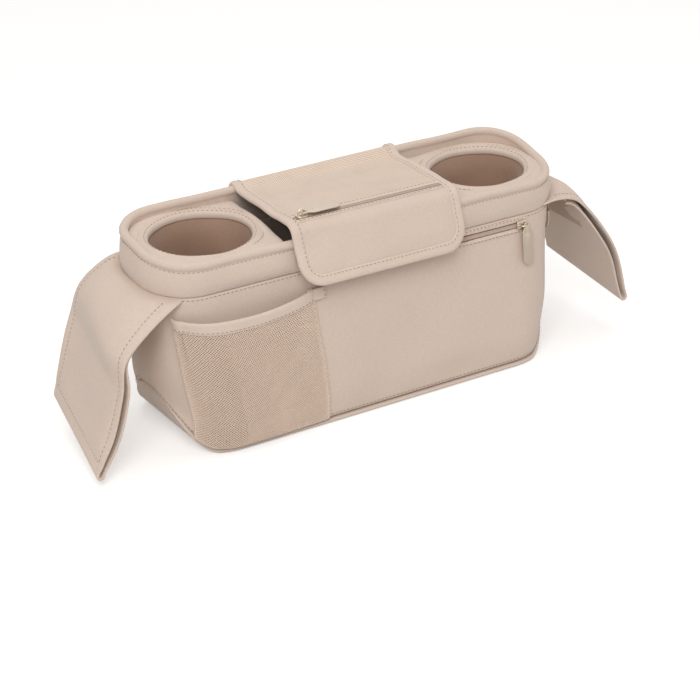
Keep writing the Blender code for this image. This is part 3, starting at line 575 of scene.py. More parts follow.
def wall_point(station, z, lift=0.0):
    """The outer face of the soft wall: a little full between its seams, with shallow creases."""
    spot = plan_point(station, z)
    foot, seam = foot_height(station), seam_height(station)
    share = clamp((z - foot) / (seam - foot))
    loose = 1.0 - ease(FLAT_FRONT_FROM, FLAT_FRONT_TO, z) if 1.6 < station % 12 < 4.4 else 1.0
    full = sin(pi * share) ** 0.8 * WALL_FULL
    hold = ease(0.0, 0.12, share) * ease(0.0, 0.16, 1 - share)
    offset = full * (0.35 + 0.65 * loose) + creased(spot, *WALL_CREASES) * hold * (0.12 + 0.88 * loose)
    offset = mix(offset, -HOLLOW_DEPTH, ring_hollow(spot))
    offset -= SEAM_GROOVE * dent(z - seam, SEAM_GROOVE_WIDE)
    offset -= FOOT_GROOVE * dent(z - foot, FOOT_GROOVE_WIDE)
    return plan_point(station, z, offset + lift)


LINE, CORNER, END = 52, 12, 8
STATIONS = parts((0, 1, END), (1, 2, CORNER), (2, 4, LINE), (4, 5, CORNER), (5, 7, END * 2),
                 (7, 8, CORNER), (8, 10, LINE), (10, 11, CORNER), (11, 12.0, END))

def wall_place(station, share):
    return wall_point(station, mix(foot_height(station), seam_height(station), share))


# Body, yoke and base

body_wall = Form(wall_place)
sheet("body_wall", STATIONS, parts((0, 0.06, 4), (0.06, 0.9, 26), (0.9, 1.0, 7)), wall_place, 1,
      CLOTH, ("front_wall", "back_wall"), WALL, wrapped=True)

YOKE_ROLL = 0.0036
YOKE_CREASES, YOKE_SWAY = ((0.05, 5.2, 0.0022), (0.02, 9.4, 0.0007)), (0.07, 1.7, 0.0012)


def yoke_section(station):
    """The yoke's closed section as (lift, height): over the seam, up, over the rolled rim and down inside."""
    seam, rim = seam_height(station), rim_height(station)
    outer = [(-0.0010, seam - 0.0002), (0.0002, seam + 0.0008), (0.0013, mix(seam, rim, 0.22)),
             (0.0014, mix(seam, rim, 0.40)), (0.0004, rim - 0.0100), (-0.0012, rim - 0.0076)]
    crown = arc((-0.0030, rim - YOKE_ROLL), YOKE_ROLL, radians(-50), radians(225), 11)
    inner = [(-0.0052, rim - 0.0110), (-0.0046, mix(seam, rim, 0.3)), (-0.0040, seam + 0.0004)]
    return outer + crown + inner


def section_point(section, share):
    points = [Vector((lift, z, 0.0)) for lift, z in section]
    return along_points(points + points[:1], share)


def yoke_point(station, share):
    at = section_point(yoke_section(station), share)
    lift, z = at.x, at.y
    spot = plan_point(station, z)
    hold = ease(0.0, 0.006, z - seam_height(station))
    lift += creased(spot, *YOKE_CREASES) * hold
    z += creased(spot, YOKE_SWAY) * ease(0.010, 0.024, z - seam_height(station))
    return plan_point(station, z, lift)


yoke = Form(yoke_point)
YOKE_SPANS = len(yoke_section(0))
band("yoke_band", STATIONS, yoke_section(0), yoke_point, 1, CLOTH, ("front_yoke", "back_yoke"))


def base_edges(x):
    half, front, back, radius = plan_sizes(0.0)
    past = clamp(abs(x) - (half - radius), 0.0, radius)
    rounding = radius - sqrt(radius * radius - past * past)
    return front + rounding, back - rounding


def base_point(run_x, share):
    """The base sheet: flat, curled up at both ends. run_x is the distance along it from the middle."""
    past = clamp((abs(run_x) - BASE_FLAT) / CURL_HEIGHT, 0.0, CURL_TURN)
    x = (min(abs(run_x), BASE_FLAT) + CURL_RUN * sin(past) / sin(CURL_TURN)) * (1 if run_x > 0 else -1)
    front, back = base_edges(x)
    return Vector((x, mix(front, back, share), base_rise(past)))


base_form = Form(base_point, side=-1)
reach = BASE_FLAT + CURL_HEIGHT * CURL_TURN
sheet("base_sheet", parts((-reach, -0.14, 24), (-0.14, 0.14, 20), (0.14, reach, 24)),
      parts((0, 0.04, 3), (0.04, 0.96, 14), (0.96, 1, 3)), base_point, -1,
      CLOTH, ("base_panel",), WALL)

# The welt round the foot, the seam stitches and the row below the rim
WELT_RADIUS, WALL_STITCH_LIFT = 0.0016, 0.0002
welt = [base_form.at(x, edge, -WALL / 2) for x, edge in
        [(x, 0.0) for x in steps(-reach, reach, 150)] + [(x, 1.0) for x in steps(reach, -reach, 150)]]
bm = bmesh.new()
absorb(bm, tube(welt, WELT_RADIUS, closed=True))
bmesh.ops.remove_doubles(bm, verts=bm.verts, dist=1e-7)
bm.loops.layers.uv.verify()
finished("foot_welt", bm, BINDING)


ROUND = steps(0.0, 12.0, 560)


def level_row(z_of):
    """A run round the body wall at a height given for each station."""
    line = []
    for station in ROUND:
        z, foot = z_of(station), foot_height(station)
        share = clamp((z - foot) / (seam_height(station) - foot), 0.002, 0.998)
        line.append((wall_point(station, z, WALL_STITCH_LIFT), body_wall.out(station, share)))
    return line


RIM_STITCH = 4.9 / YOKE_SPANS
stitching("body_stitches",
          level_row(lambda s: seam_height(s) - 0.0022), level_row(lambda s: foot_height(s) + 0.0030))
stitching("rim_stitches", yoke.line([(station, RIM_STITCH) for station in ROUND]))


# Cup wells

CUP_PULL = 0.0026
PANEL_START, PANEL_INSET, PANEL_THICK, PANEL_DROP = 0.0030, 0.0042, 0.0022, 0.0004
PANEL_NARROW, PANEL_SWELL, GROOVE_FILL = 0.014, 0.0018, 0.0036
LINING_DROP, LINING_THICK, LINING_FOLDS = 0.0018, 0.0026, 0.0020


def cup_top_z(y):
    return CUP_TOP_HEIGHT + CUP_TOP_SLOPE * y


def oval(turn, grow, side, scale=1.0, pulled=1.0):
    """A point round the cup; its mouth is pulled a little towards the front rim."""
    pull = CUP_PULL * pulled * ease(0.0, 1.0, -sin(turn))
    return (side * CUP_X + (CUP_LENGTH * scale / 2 + grow) * cos(turn),
            CUP_Y + (CUP_WIDTH * scale / 2 + grow) * sin(turn) - pull)


def panel_edge(turn, side):
    """The cup panel's outer edge on a ray from the middle of the cup."""
    aim = Vector((cos(turn) * side, sin(turn)))
    half, front, back, radius = plan_sizes(CUP_TOP_HEIGHT, -PANEL_INSET)
    start = Vector((CUP_X, CUP_Y))
    reach = []
    if abs(aim.x) > 1e-9:
        reach.append(((half if aim.x > 0 else CUP_END_X) - start.x) / aim.x)
    if abs(aim.y) > 1e-9:
        reach.append(((back if aim.y > 0 else front) - start.y) / aim.y)
    spot = start + aim * min(reach)
    for centre_y, beyond in ((front + radius, spot.y < front + radius),
                             (back - radius, spot.y > back - radius)):
        centre = Vector((half - radius, centre_y))
        if beyond and spot.x > centre.x:
            offset = start - centre
            along = offset.dot(aim)
            spot = start + aim * (-along + sqrt(along * along - offset.length_squared + radius * radius))
    return side * spot.x, spot.y


FACING_SECTION = [(0.0086, -0.0004), (0.0082, 0.0009), (0.0060, 0.0018), (0.0030, 0.0022), (0.0008, 0.0018),
                  (-0.0008, 0.0004), (-0.0013, -0.0014), (-0.0011, -0.0032), (0.0000, -0.0036), (0.0006, -0.0020),
                  (0.0020, -0.0006), (0.0060, -0.0008)]
CUP_STITCHES = [place / len(FACING_SECTION) for place in (1.45, 3.55)]
TURNS = steps(0, 2 * pi, 96)


def cup(label, side):
    """One cup well: padded top panel, rolled facing with two rows of stitches, and a creased lining."""
    seed = 2.0 * side

    def panel_point(turn, share):
        inner, outer = Vector(oval(turn, PANEL_START, side)), Vector(panel_edge(turn, side))
        spot = inner.lerp(outer, share)
        at = Vector((spot.x, spot.y, cup_top_z(spot.y) - PANEL_DROP))
        narrow = 1 - clamp((outer - inner).length / PANEL_NARROW)
        swell = sin(pi * clamp(share))
        full = PANEL_SWELL * swell * (1 - narrow) + GROOVE_FILL * narrow * ease(0.0, 0.5, share)
        return at + Vector((0, 0, full + creased(at, (0.03, seed, 0.0016)) * swell))
    sheet(label + "_cup_panel", TURNS, steps(0, 1, 8), panel_point, -1,
          CLOTH, (label + "_cup_top",), PANEL_THICK, wrapped=True)

    def facing_point(turn, share):
        at = section_point(FACING_SECTION, share)
        spread = 1 - 0.25 * ease(0.55, 0.95, -sin(turn)) if at.x > 0 else 1.0
        x, y = oval(turn, at.x * spread, side)
        wave = creased(Vector((x, y, 0)), (0.03, 4 + seed, 0.0010))
        return Vector((x, y, cup_top_z(y) + at.y + wave))
    band(label + "_cup_rim", TURNS, FACING_SECTION, facing_point, 1, CLOTH, (label + "_cup_facing",))
    rows = ([(turn, row) for turn in steps(0, 2 * pi, 180)] for row in CUP_STITCHES)
    stitching(label + "_cup_stitches", *map(Form(facing_point).line, rows))

    def lining_point(turn, share):
        wall, floor = clamp(share), clamp(share - 1.0)
        scale = mix(1.0, CUP_TAPER, wall) * (1 - floor)
        x, y = oval(turn, 0.0004 * (1 - floor), side, scale, clamp(1 - wall * 1.5))
        spot = Vector((x, y, mix(cup_top_z(y) - LINING_DROP, CUP_FLOOR_HEIGHT + 0.0004, wall)))
        crease = LINING_FOLDS * sin(3 * turn + 7 * wall + seed) * sin(pi * wall) ** 0.7
        crease += creased(spot, (0.028, seed, 0.0030), (0.013, seed + 3, 0.0012)) * sin(pi * wall)
        inward = Vector((side * CUP_X - x, CUP_Y - y, 0.0))
        push = 0.0002 + 0.0010 * ease(0.0, 0.10, wall) + crease * (1 - floor)
        return spot + inward.normalized() * (push if inward.length > 1e-6 and floor < 0.99 else 0.0)
    bm = grid(TURNS[::2], steps(0, 1, 26) + [1.04, 1.15, 1.4, 1.7, 2.0], lining_point, 1, wrapped=True)
    bmesh.ops.remove_doubles(bm, verts=bm.verts, dist=2e-5)
    nodes = (label + "_cup_sleeve", label + "_cup_floor")
    softened(label + "_cup_lining", bm, INSIDE, nodes, LINING_THICK)


cup("left", -1)
cup("right", 1)


# Flap

def flap_frame():
    """Start, direction and length of the top run, and the fold's centre and turns, in (y, z)."""
    start = Vector((TOP_BACK - WALL - 0.0003, FLAP_BACK_HEIGHT))
    fold = Vector((FLAP_FOLD_Y, FLAP_FOLD_HEIGHT))
    edge = Vector((FLAP_EDGE_Y, FLAP_EDGE_HEIGHT))
    along = (fold - start).normalized()
    top = (fold - start).length
    run_turn = atan2(-along.y, -along.x)
    centre = fold - Vector((-sin(run_turn), cos(run_turn))) * FLAP_FOLD_RADIUS
    reach = edge - centre
    tangent = sqrt(reach.length_squared - FLAP_FOLD_RADIUS ** 2)
    drop_turn = atan2(-reach.y, -reach.x) + asin(FLAP_FOLD_RADIUS / reach.length)
    return start, along, top, run_turn, centre, drop_turn, tangent


FLAP_START, FLAP_ALONG, FLAP_TOP, FLAP_TURN, FLAP_CENTRE, FLAP_DROP, FLAP_TANGENT = flap_frame()
FLAP_BEND = FLAP_FOLD_RADIUS * (FLAP_DROP - FLAP_TURN)
FLAP_FULL = FLAP_TOP + FLAP_BEND + FLAP_TANGENT
FLAP_ZIP = FLAP_TOP - 0.0020
FLAP_REACH = FLAP_WIDTH / 2 - BINDING_WIDTH
FLAP_TUCK = BINDING_WIDTH - 0.0015   # how far inside its edge the flap's cloth ends, under the binding
FLAP_CREASES = (0.045, 6.6, 0.0022), (0.018, 2.2, 0.0006)
FLAP_SWELL, FLAP_SINK = 0.0012, 0.0010   # the front swells a little and the mesh sinks

# Over the back rim the flap rides up and is sewn down outside it, as (y, z) from its top run
HINGE_FROM, HINGE_LONG, HINGE_OUTSIDE = 0.0140, 0.0286, -0.0140
HINGE_TRACK = [FLAP_START + FLAP_ALONG * HINGE_FROM] + [Vector(at) for at in (
    (0.0350, 0.1702), (0.0385, 0.1714), (0.0415, 0.1733), (0.0450, 0.1746), (0.0481, 0.1735), (0.0499, 0.1706),
    (0.0506, 0.1670), (0.0506, 0.1640))]


def flap_side(distance):
    """Point and outward normal of the flap's side view at a distance from its back edge."""
    if distance < HINGE_FROM:
        share = (HINGE_FROM - distance) / HINGE_LONG
        spot = along_points(HINGE_TRACK, share)
        ahead = along_points(HINGE_TRACK, share - 0.01) - along_points(HINGE_TRACK, share + 0.01)
        return spot, Vector((ahead.y, -ahead.x)).normalized()
    if distance <= FLAP_TOP:
        turn = FLAP_TURN
        spot = FLAP_START + FLAP_ALONG * distance
    elif distance <= FLAP_TOP + FLAP_BEND:
        turn = FLAP_TURN + (distance - FLAP_TOP) / FLAP_FOLD_RADIUS
        spot = FLAP_CENTRE + Vector((-sin(turn), cos(turn))) * FLAP_FOLD_RADIUS
    else:
        turn = FLAP_DROP
        spot = FLAP_CENTRE + Vector((-sin(turn), cos(turn))) * FLAP_FOLD_RADIUS
        spot += Vector((-cos(turn), -sin(turn))) * (distance - FLAP_TOP - FLAP_BEND)
    return spot, Vector((-sin(turn), cos(turn)))


def flap_face(x, distance, lift=0.0):
    """The flap's outer face: padded between its bindings, calm where the zip runs."""
    spot, out = flap_side(distance)
    away = ease(0.006, 0.020, abs(distance - FLAP_ZIP))
    inner = clamp(1 - abs(x) / (FLAP_WIDTH / 2 - 0.004)) ** 0.5
    ends = ease(0.0, 0.012, distance) * ease(0.004, 0.020, FLAP_FULL - distance)
    full = (FLAP_SWELL if distance > FLAP_TOP else -FLAP_SINK) * inner * ends * away
    at = Vector((x, spot.x, spot.y + BACK_SLANT * x / TOP_LENGTH * (1 - ease(0.0, HINGE_FROM, distance))))
    wave = creased(at, *FLAP_CREASES) * away * ease(0.0, 0.010, distance)
    return at + Vector((0.0, *out)) * (lift + full + wave)


def flap_out(distance):
    return Vector((0.0, *flap_side(distance)[1]))


def flap_half_width(distance):
    radius = FLAP_CORNER - FLAP_TUCK
    past = clamp(distance - (FLAP_FULL - FLAP_CORNER), 0.0, radius)
    return FLAP_WIDTH / 2 - FLAP_CORNER + sqrt(radius * radius - past * past)


def flap_panel(name, look, nodes, low, high, count, lift=0.0, thick=0.0012):
    """A panel of the flap between two distances, its edges tucked under the binding."""
    corner, radius = FLAP_FULL - FLAP_CORNER, FLAP_CORNER - FLAP_TUCK
    marks = [d for d in steps(low, high, count) if d < corner]
    marks += [corner + radius * sin(a) for a in steps(0, pi / 2, 8)] if high > corner else [high]
    rows = sorted({round(d, 6) for d in marks if low <= d <= high + 1e-9} | {low, min(high, corner + radius)})

    def place(share, distance):
        return flap_face(share * flap_half_width(distance), distance, lift)
    sheet(name, steps(-1, 1, 40), rows, place, -1, look, nodes, thick)


LIP, FLAP_END = 0.0004, FLAP_FULL - BINDING_WIDTH
flap_panel("flap_mesh", FLAP_MESH, ("flap_mesh_panel",),
           HINGE_OUTSIDE, FLAP_ZIP - ZIP_HALF + LIP, 34)
flap_panel("flap_front", CLOTH, ("flap_front_panel",), FLAP_ZIP + ZIP_HALF - LIP, FLAP_END, 26)
flap_panel("flap_back_cloth", INSIDE, ("flap_lining",),
           0.0, FLAP_END, 40, -0.0016, 0.0010)

BINDING_SECTION = [(0.0084, 0.0004), (0.0078, 0.0013), (0.0056, 0.0012), (0.0036, 0.0016), (0.0010, 0.0015),
                   (-0.0005, 0.0004), (-0.0008, -0.0014), (0.0006, -0.0030), (0.0040, -0.0034), (0.0078, -0.0031),
                   (0.0085, -0.0016)]


def flap_edge(station, inset):
    """(x, distance) at an inset from the flap's edge."""
    kind, way, at = station
    side, corner = FLAP_WIDTH / 2, FLAP_FULL - FLAP_CORNER
    radius = FLAP_CORNER - inset
    if kind == "side":
        return way * (side - inset), at
    if kind == "corner":
        return way * (side - FLAP_CORNER + radius * cos(at)), corner + radius * sin(at)
    return at, FLAP_FULL - inset


def flap_track(fine=1):
    corner = FLAP_FULL - FLAP_CORNER
    down = [("side", -1, d) for d in steps(HINGE_OUTSIDE, corner, 58 * fine)]
    turn = [("corner", -1, a) for a in steps(0, pi / 2, 14 * fine)[1:]]
    reach = FLAP_WIDTH / 2 - FLAP_CORNER
    bottom = [("bottom", 0, x) for x in steps(-reach, reach, 34 * fine)[1:]]
    return down + turn + bottom[:-1] + [(kind, 1, at) for kind, way, at in reversed(down + turn)]


def binding_place(station, share):
    at = section_point(BINDING_SECTION, share)
    x, distance = flap_edge(station, at.x)
    puff = 1 + creased(flap_face(x, distance), (0.012, 8.0, 0.12))
    return flap_face(x, distance, at.y * puff)


def flap_row(distance):
    """A row of stitches straight across the flap."""
    return [(flap_face(x, distance, 0.0001), flap_out(distance)) for x in steps(-FLAP_REACH, FLAP_REACH, 160)]


BINDING_STITCH, HINGE_STITCH, ZIP_STITCH = 0.0066, -0.0120, ZIP_HALF + 0.0016
band("flap_edge_binding", flap_track(), BINDING_SECTION, binding_place, -1,
     BINDING, ("flap_binding",), fine=1)
edge = [flap_edge(station, BINDING_STITCH) for station in flap_track(3)]
stitching("flap_stitches", [(flap_face(x, distance, 0.0012), flap_out(distance)) for x, distance in edge],
          flap_row(FLAP_ZIP - ZIP_STITCH), flap_row(FLAP_ZIP + ZIP_STITCH), flap_row(HINGE_STITCH))


# Zips

FRONT_SLOPE = atan2(BASE_FRONT - TOP_FRONT, FRONT_SEAM - BASE_CURL)
FRONT_OUT = Vector((0.0, -cos(FRONT_SLOPE), sin(FRONT_SLOPE)))
ALONG = Vector((1.0, 0.0, 0.0))


def front_face(x, z, lift=0.0):
    return Vector((x, plan_sizes(z)[1], z)) + FRONT_OUT * lift


def flap_line(x, distance, lift=0.0):
    spot, out = flap_side(distance)
    return Vector((x, spot.x, spot.y)) + Vector((0.0, *out)) * lift


# Across a tape from the chain outwards, as (across, lift): flat, then two woven ridges
TAPE_SECTION = ((0.0014, 0.0001), (0.0019, 0.0003), (0.0024, -0.0001), (0.0030, 0.0002), (0.0036, -0.0001),
                (0.0044, -0.0004))
TOOTH_PITCH, TOOTH_END, TOOTH_LEAN = 0.0015, 0.001, 0.12
TOOTH = Matrix.Diagonal((0.00115, 0.0023, 0.0015, 1.0))
RAIL_WIDE, RAIL_HIGH = 0.0012, 0.0006


def zip_fastening(name, face, ends, middle, way, tape_nodes, chain_node, out):
    """Two woven tapes and two interlocked coils. way is 1 where the face's second measure runs down."""
    bm = bmesh.new()
    for side in (-1, 1):
        part = grid(steps(*ends, 60), TAPE_SECTION,
                    lambda x, at: face(x, middle + side * at[0], at[1] - 0.0002), side * way)
        absorb(bm, baked(name, part))
    softened(name + "_tapes", bm, TAPE_IN_PAINTED_SHADE, tape_nodes, 0.0006)

    bm = bmesh.new()
    low, high = ends
    over = out.cross(ALONG)
    for side in (-1, 1):
        for i in range(round((high - low - 2 * TOOTH_END) / TOOTH_PITCH)):
            x = low + TOOTH_END + (i + 0.5 + side * 0.25) * TOOTH_PITCH
            place = placed(face(x, middle, 0.0005) + over * side * 0.00075, ALONG, over, out)
            tooth = place @ Matrix.Rotation(side * TOOTH_LEAN, 4, "Z") @ TOOTH
            bmesh.ops.create_icosphere(bm, subdivisions=1, radius=0.5, matrix=tooth)
        place = placed(face((low + high) / 2, middle, 0.0001) + over * side * RAIL_WIDE, ALONG, over, out)
        rail = Matrix.Diagonal((high - low, RAIL_WIDE, RAIL_HIGH, 1))
        bmesh.ops.create_cube(bm, size=1.0, matrix=place @ rail)
    finished(name + "_coils", bm, COIL, chain_node)


def front_zip_face(x, z, lift):
    return front_face(x, z, lift - 0.0002)


zip_fastening("front_zip", front_zip_face, (FRONT_ZIP_LEFT, FRONT_ZIP_RIGHT), FRONT_ZIP_HEIGHT, -1,
              ("front_zip_tape_lower", "front_zip_tape_upper"), ("front_zip_teeth",), FRONT_OUT)
zip_fastening("flap_zip", flap_line, (-FLAP_REACH, FLAP_REACH), FLAP_ZIP, 1,
              ("flap_zip_tape_rear", "flap_zip_tape_front"), ("flap_zip_teeth",), flap_out(FLAP_ZIP))

LIP_SECTION = [(0.0028, -0.0002), (0.0026, 0.0005), (0.0030, 0.0009), (0.0038, 0.0010), (0.0046, 0.0015),
               (0.0055, 0.0012), (0.0061, 0.0003), (0.0060, -0.0004), (0.0042, -0.0001)]
LIP_STITCH, LIP_STITCH_LIFT, LIP_STITCH_END = 0.0052, 0.0014, 0.002


def zip_lips(name, face, low, high, middle, way, out):
    """The two folded cloth edges along a zip, each held by a row of stitches."""
    for label, side in (("upper", -way), ("lower", way)):
        def place(x, share):
            at = section_point(LIP_SECTION, share)
            wave = creased(Vector((x, side, middle)), (0.016, 4.0, 0.0003))
            return face(x, middle + side * (at.x + wave), at.y)
        band(f"{name}_{label}_lip", steps(low, high, 90), LIP_SECTION, place, -side * way, BINDING)
    xs = steps(low + LIP_STITCH_END, high - LIP_STITCH_END, 120)
    rows = ([(face(x, middle + side * LIP_STITCH, LIP_STITCH_LIFT), out) for x in xs] for side in (-1, 1))
    stitching(name + "_lip_stitches", *rows)


zip_lips("front_zip", front_zip_face, FRONT_ZIP_LEFT, FRONT_ZIP_RIGHT, FRONT_ZIP_HEIGHT, -1, FRONT_OUT)
zip_lips("flap_zip", flap_line, -FLAP_REACH - 0.001, FLAP_REACH + 0.001, FLAP_ZIP, 1, flap_out(FLAP_ZIP))


# Metal fittings

def rounded(left, right, half, corner):
    """A rounded rectangle from left to right, half wide to each side."""
    low, high = left + corner, right - corner
    centres = ((high, half - corner), (low, half - corner), (low, corner - half), (high, corner - half))
    return [spot for i, centre in enumerate(centres)
            for spot in arc(centre, corner, i * pi / 2, (i + 1) * pi / 2)]


def standing(spot, out, along):
    """The place of a fitting: its own x runs along, its z points out."""
    across = out.cross(along).normalized()
    return placed(spot, across.cross(out).normalized(), across, out)


def crisp(name, bm, node, body):
    """A metal piece with sharp edges, in place of its plain solid."""
    piece = finished(name, bm, METAL, (node,), body)
    piece.data.set_sharp_from_angle(angle=radians(40))


SLIDER_LENGTH, SLIDER_HALF, SLIDER_FOOT, SLIDER_THICK = 0.0100, 0.0037, 0.0011, 0.0016
BAIL_HALF, BAIL_RISE, BAIL_WIRE = 0.0030, 0.0020, 0.00075
PULL_LIFT = 0.0008 + 0.0003 + SLIDER_THICK + BAIL_RISE
PULL_LONG, PULL_HALF, PULL_NECK, PULL_THICK, PULL_FRAME = 0.034, 0.0049, 0.0026, 0.0012, 0.0016
EYE, EYE_RIM, SLOT_FROM, SLOT_TO = 0.00125, 0.0008, 0.0008, 0.0043


def slider(name, node, spot, out, nose):
    """A slider: a waisted plate over the chain, skirts and an arched bail. nose is 1 if it points to +x."""
    bm = bmesh.new()
    place = standing(spot, out, ALONG)
    half, wide = SLIDER_LENGTH / 2, SLIDER_HALF
    flank = [(-half, 0.55 * wide), (-half + 0.0012, 0.85 * wide), (-0.001, wide), (0.0022, wide),
             (half - 0.0006, 0.8 * wide), (half, 0.35 * wide)]
    outline = flank + [(half - 0.0008, 0.0)] + [(x, -y) for x, y in reversed(flank)]
    middle = SLIDER_FOOT + SLIDER_THICK / 2
    outline = [(nose * x, y) for x, y in outline]
    plate(bm, outline, SLIDER_THICK, place @ Matrix.Translation((0, 0, middle)), 0.0004)
    skirt = rounded(-half + 0.0014, half - 0.0014, 0.0006, 0.0005)
    for side in (-1, 1):
        spot = Vector((0, side * (wide - 0.0008), SLIDER_FOOT - 0.0001))
        plate(bm, skirt, 0.0011, place @ Matrix.Translation(spot), 0.0002)
    crown = arc((0, SLIDER_FOOT + SLIDER_THICK + BAIL_RISE - 0.0004), BAIL_HALF, 0, pi, 14)
    wire = [(BAIL_HALF, 0.0, middle)] + [(x, 0.0, z) for x, z in crown] + [(-BAIL_HALF, 0.0, middle)]
    bail = tube(wire, BAIL_WIRE)
    bail.transform(place)
    absorb(bm, bail)
    crisp(name, bm, node, name)


def pull(name, node, spot, out, along, slotted):
    """A long flat pull with a round end and a shallow frame, hung on the bail by a round eye or a slot."""
    bm = bmesh.new()
    place = standing(spot + out * PULL_LIFT, out, along)
    if slotted:
        eye = arc((SLOT_TO - EYE, 0), EYE, -pi / 2, pi / 2) + arc((SLOT_FROM + EYE, 0), EYE, pi / 2, 1.5 * pi)
        head = [(-EYE_RIM, PULL_NECK), (-EYE_RIM, -PULL_NECK)]
        shoulder = SLOT_TO + EYE_RIM
    else:
        eye = arc((0, 0), EYE, 0, 2 * pi, 20)[:-1]
        shoulder = EYE + EYE_RIM
        head = arc((0, 0), shoulder, pi / 2, 1.5 * pi, 12)
    wide, end = PULL_HALF, PULL_LONG - PULL_HALF
    flank = [(shoulder + wide, wide), (shoulder + wide * 0.7, wide * 0.94), (shoulder, PULL_NECK)]
    tip = arc((end, 0), wide, -pi / 2, pi / 2, 18)
    outline = head + [(x, -y) for x, y in reversed(flank)] + tip + flank
    plate(bm, outline, PULL_THICK, place, 0.00035, holes=(eye,))
    panel = rounded(shoulder + wide, end + wide * 0.55, wide * 0.62, wide * 0.6)
    plate(bm, panel, PULL_FRAME, place, 0.00025)
    crisp(name, bm, node, name)


centre = front_face(FRONT_ZIP_RIGHT - SLIDER_LENGTH / 2, FRONT_ZIP_HEIGHT)
slider("front_slider", "front_zip_slider", centre, FRONT_OUT, 1)
pull("front_pull", "front_zip_pull", centre + ALONG * BAIL_HALF, FRONT_OUT, ALONG.cross(FRONT_OUT), False)
centre = flap_line(-FLAP_REACH + 0.0003 + 0.0020 + SLIDER_LENGTH / 2, FLAP_ZIP)
slider("flap_slider", "flap_zip_slider", centre, flap_out(FLAP_ZIP), -1)
pull("flap_pull", "flap_zip_pull", centre, flap_out(FLAP_ZIP), ALONG, True)


# Net pocket

POCKET_TURN, POCKET_OFF = 0.30, 0.0022
NET_CREASES = (0.035, 12.0, 0.0030), (0.014, 3.0, 0.0007)
NET_WIDE, NET_HIGH = 0.119, 0.094
NET_PITCH, NET_STRAND, NET_GROUND_DEPTH = 0.0028, 0.00095, 0.0011


def pocket_station(share):
    """Stations of the net, spread evenly along the cloth from the corner to the front."""
    if share < POCKET_TURN:
        return mix(POCKET_START, 2.0, share / POCKET_TURN)
    return mix(2.0, POCKET_END, (share - POCKET_TURN) / (1 - POCKET_TURN))


def pocket_top(share):
    return POCKET_HEIGHT - POCKET_SAG * sin(pi * clamp(share))


def pocket_lift(share, rise):
    """How far the pocket stands off the wall: sewn down at the sides and the foot, open at the top."""
    across = max(sin(pi * clamp(share)), 0.0) ** 0.6
    return POCKET_OFF + POCKET_BULGE * across * clamp(rise) ** 0.6


def pocket_point(share, z, lift=0.0):
    """A point of the net: it bags a little between its sewn edges."""
    rise = z / pocket_top(share)
    spot = plan_point(pocket_station(share), z)
    hold = sin(pi * clamp(share)) * ease(0.0, 0.15, rise)
    bag = creased(spot, *NET_CREASES) * hold * ease(0.0, 0.12, 1 - rise)
    return wall_point(pocket_station(share), z, pocket_lift(share, rise) + bag + lift)


def net_foot(share):
    return foot_height(pocket_station(share)) + 0.0012


def net():
    """Diamond net: a grid turned by 45 degrees, cut to the pocket and opened into strands."""
    reach = (NET_WIDE + NET_HIGH) / 2
    count = round(reach * 2 / (NET_PITCH / sqrt(2)) / 2) * 2
    bm = bmesh.new()
    bmesh.ops.create_grid(bm, x_segments=count, y_segments=count, size=reach / sqrt(2) * 1.02)
    bmesh.ops.rotate(bm, verts=bm.verts, cent=(0, 0, 0), matrix=Matrix.Rotation(pi / 4, 3, "Z"))
    for axis, size in ((Vector((1, 0, 0)), NET_WIDE), (Vector((0, 1, 0)), NET_HIGH)):
        for side in (-1, 1):
            bmesh.ops.bisect_plane(bm, geom=bm.verts[:] + bm.edges[:] + bm.faces[:], dist=1e-7,
                                   plane_co=axis * side * size / 2, plane_no=axis * side, clear_outer=True)
    for vert in bm.verts:
        share = vert.co.x / NET_WIDE + 0.5
        top = pocket_top(share) - POCKET_BINDING + 0.0010
        vert.co = pocket_point(share, mix(net_foot(share), top, vert.co.y / NET_HIGH + 0.5))
    bm.normal_update()
    bmesh.ops.wireframe(bm, faces=bm.faces, thickness=NET_STRAND, offset=0.5, use_replace=True,
                        use_boundary=True, use_even_offset=False, use_relative_offset=False)
    finished("net", bm, NET, ("net_pocket",))


net()


def ground_place(share, rise):
    """A thin sheet just behind the net, coloured dark as painted shade, which shows through its holes."""
    top = pocket_top(share) - POCKET_BINDING + 0.0030
    return pocket_point(share, mix(net_foot(share) - 0.0004, top, rise), -NET_GROUND_DEPTH)


sheet("net_ground", steps(0.0, 1.0, 70), steps(0, 1, 44), ground_place, 1, NET_SHADE, thick=0.0004)
HEM_SECTION = [(0.0, 0.0010), (0.0012, 0.0018), (0.0045, 0.0017), (0.0080, 0.0019), (0.0095, 0.0010),
               (0.0096, -0.0006), (0.0080, -0.0010), (0.0045, -0.0006), (0.0010, -0.0006)]
HEM_STITCH, HEM_STITCH_LIFT = 0.0022, 0.0017
SIDE_TAPE = ((-0.0036, 0.0004), (-0.0021, 0.0024), (0.0009, 0.0024), (0.0016, 0.0014), (0.0016, 0.0))
TAB_FROM, TAB_TO = -0.002, 0.0128


def hem_place(share, section):
    at = section_point(HEM_SECTION, section)
    z = pocket_top(share) - POCKET_BINDING + at.x
    return pocket_point(share, z, at.y - 0.0002)


def side_tape_place(z, section):
    """The bound right side of the net, sewn to the front."""
    across, lift = section
    return wall_point(POCKET_END, z, lift) + ALONG * across


def tab_place(share, z):
    """The loop that stands out beside the net's right end."""
    return wall_point(POCKET_END, z, 0.0034 - 0.0010 * share) + ALONG * mix(TAB_FROM, TAB_TO, share)


def hem_stitch(share):
    spot = pocket_point(share, pocket_top(share) - POCKET_BINDING + HEM_STITCH, HEM_STITCH_LIFT)
    station = pocket_station(share)
    return spot, plan_point(station, 0.1, 1.0) - plan_point(station, 0.1)


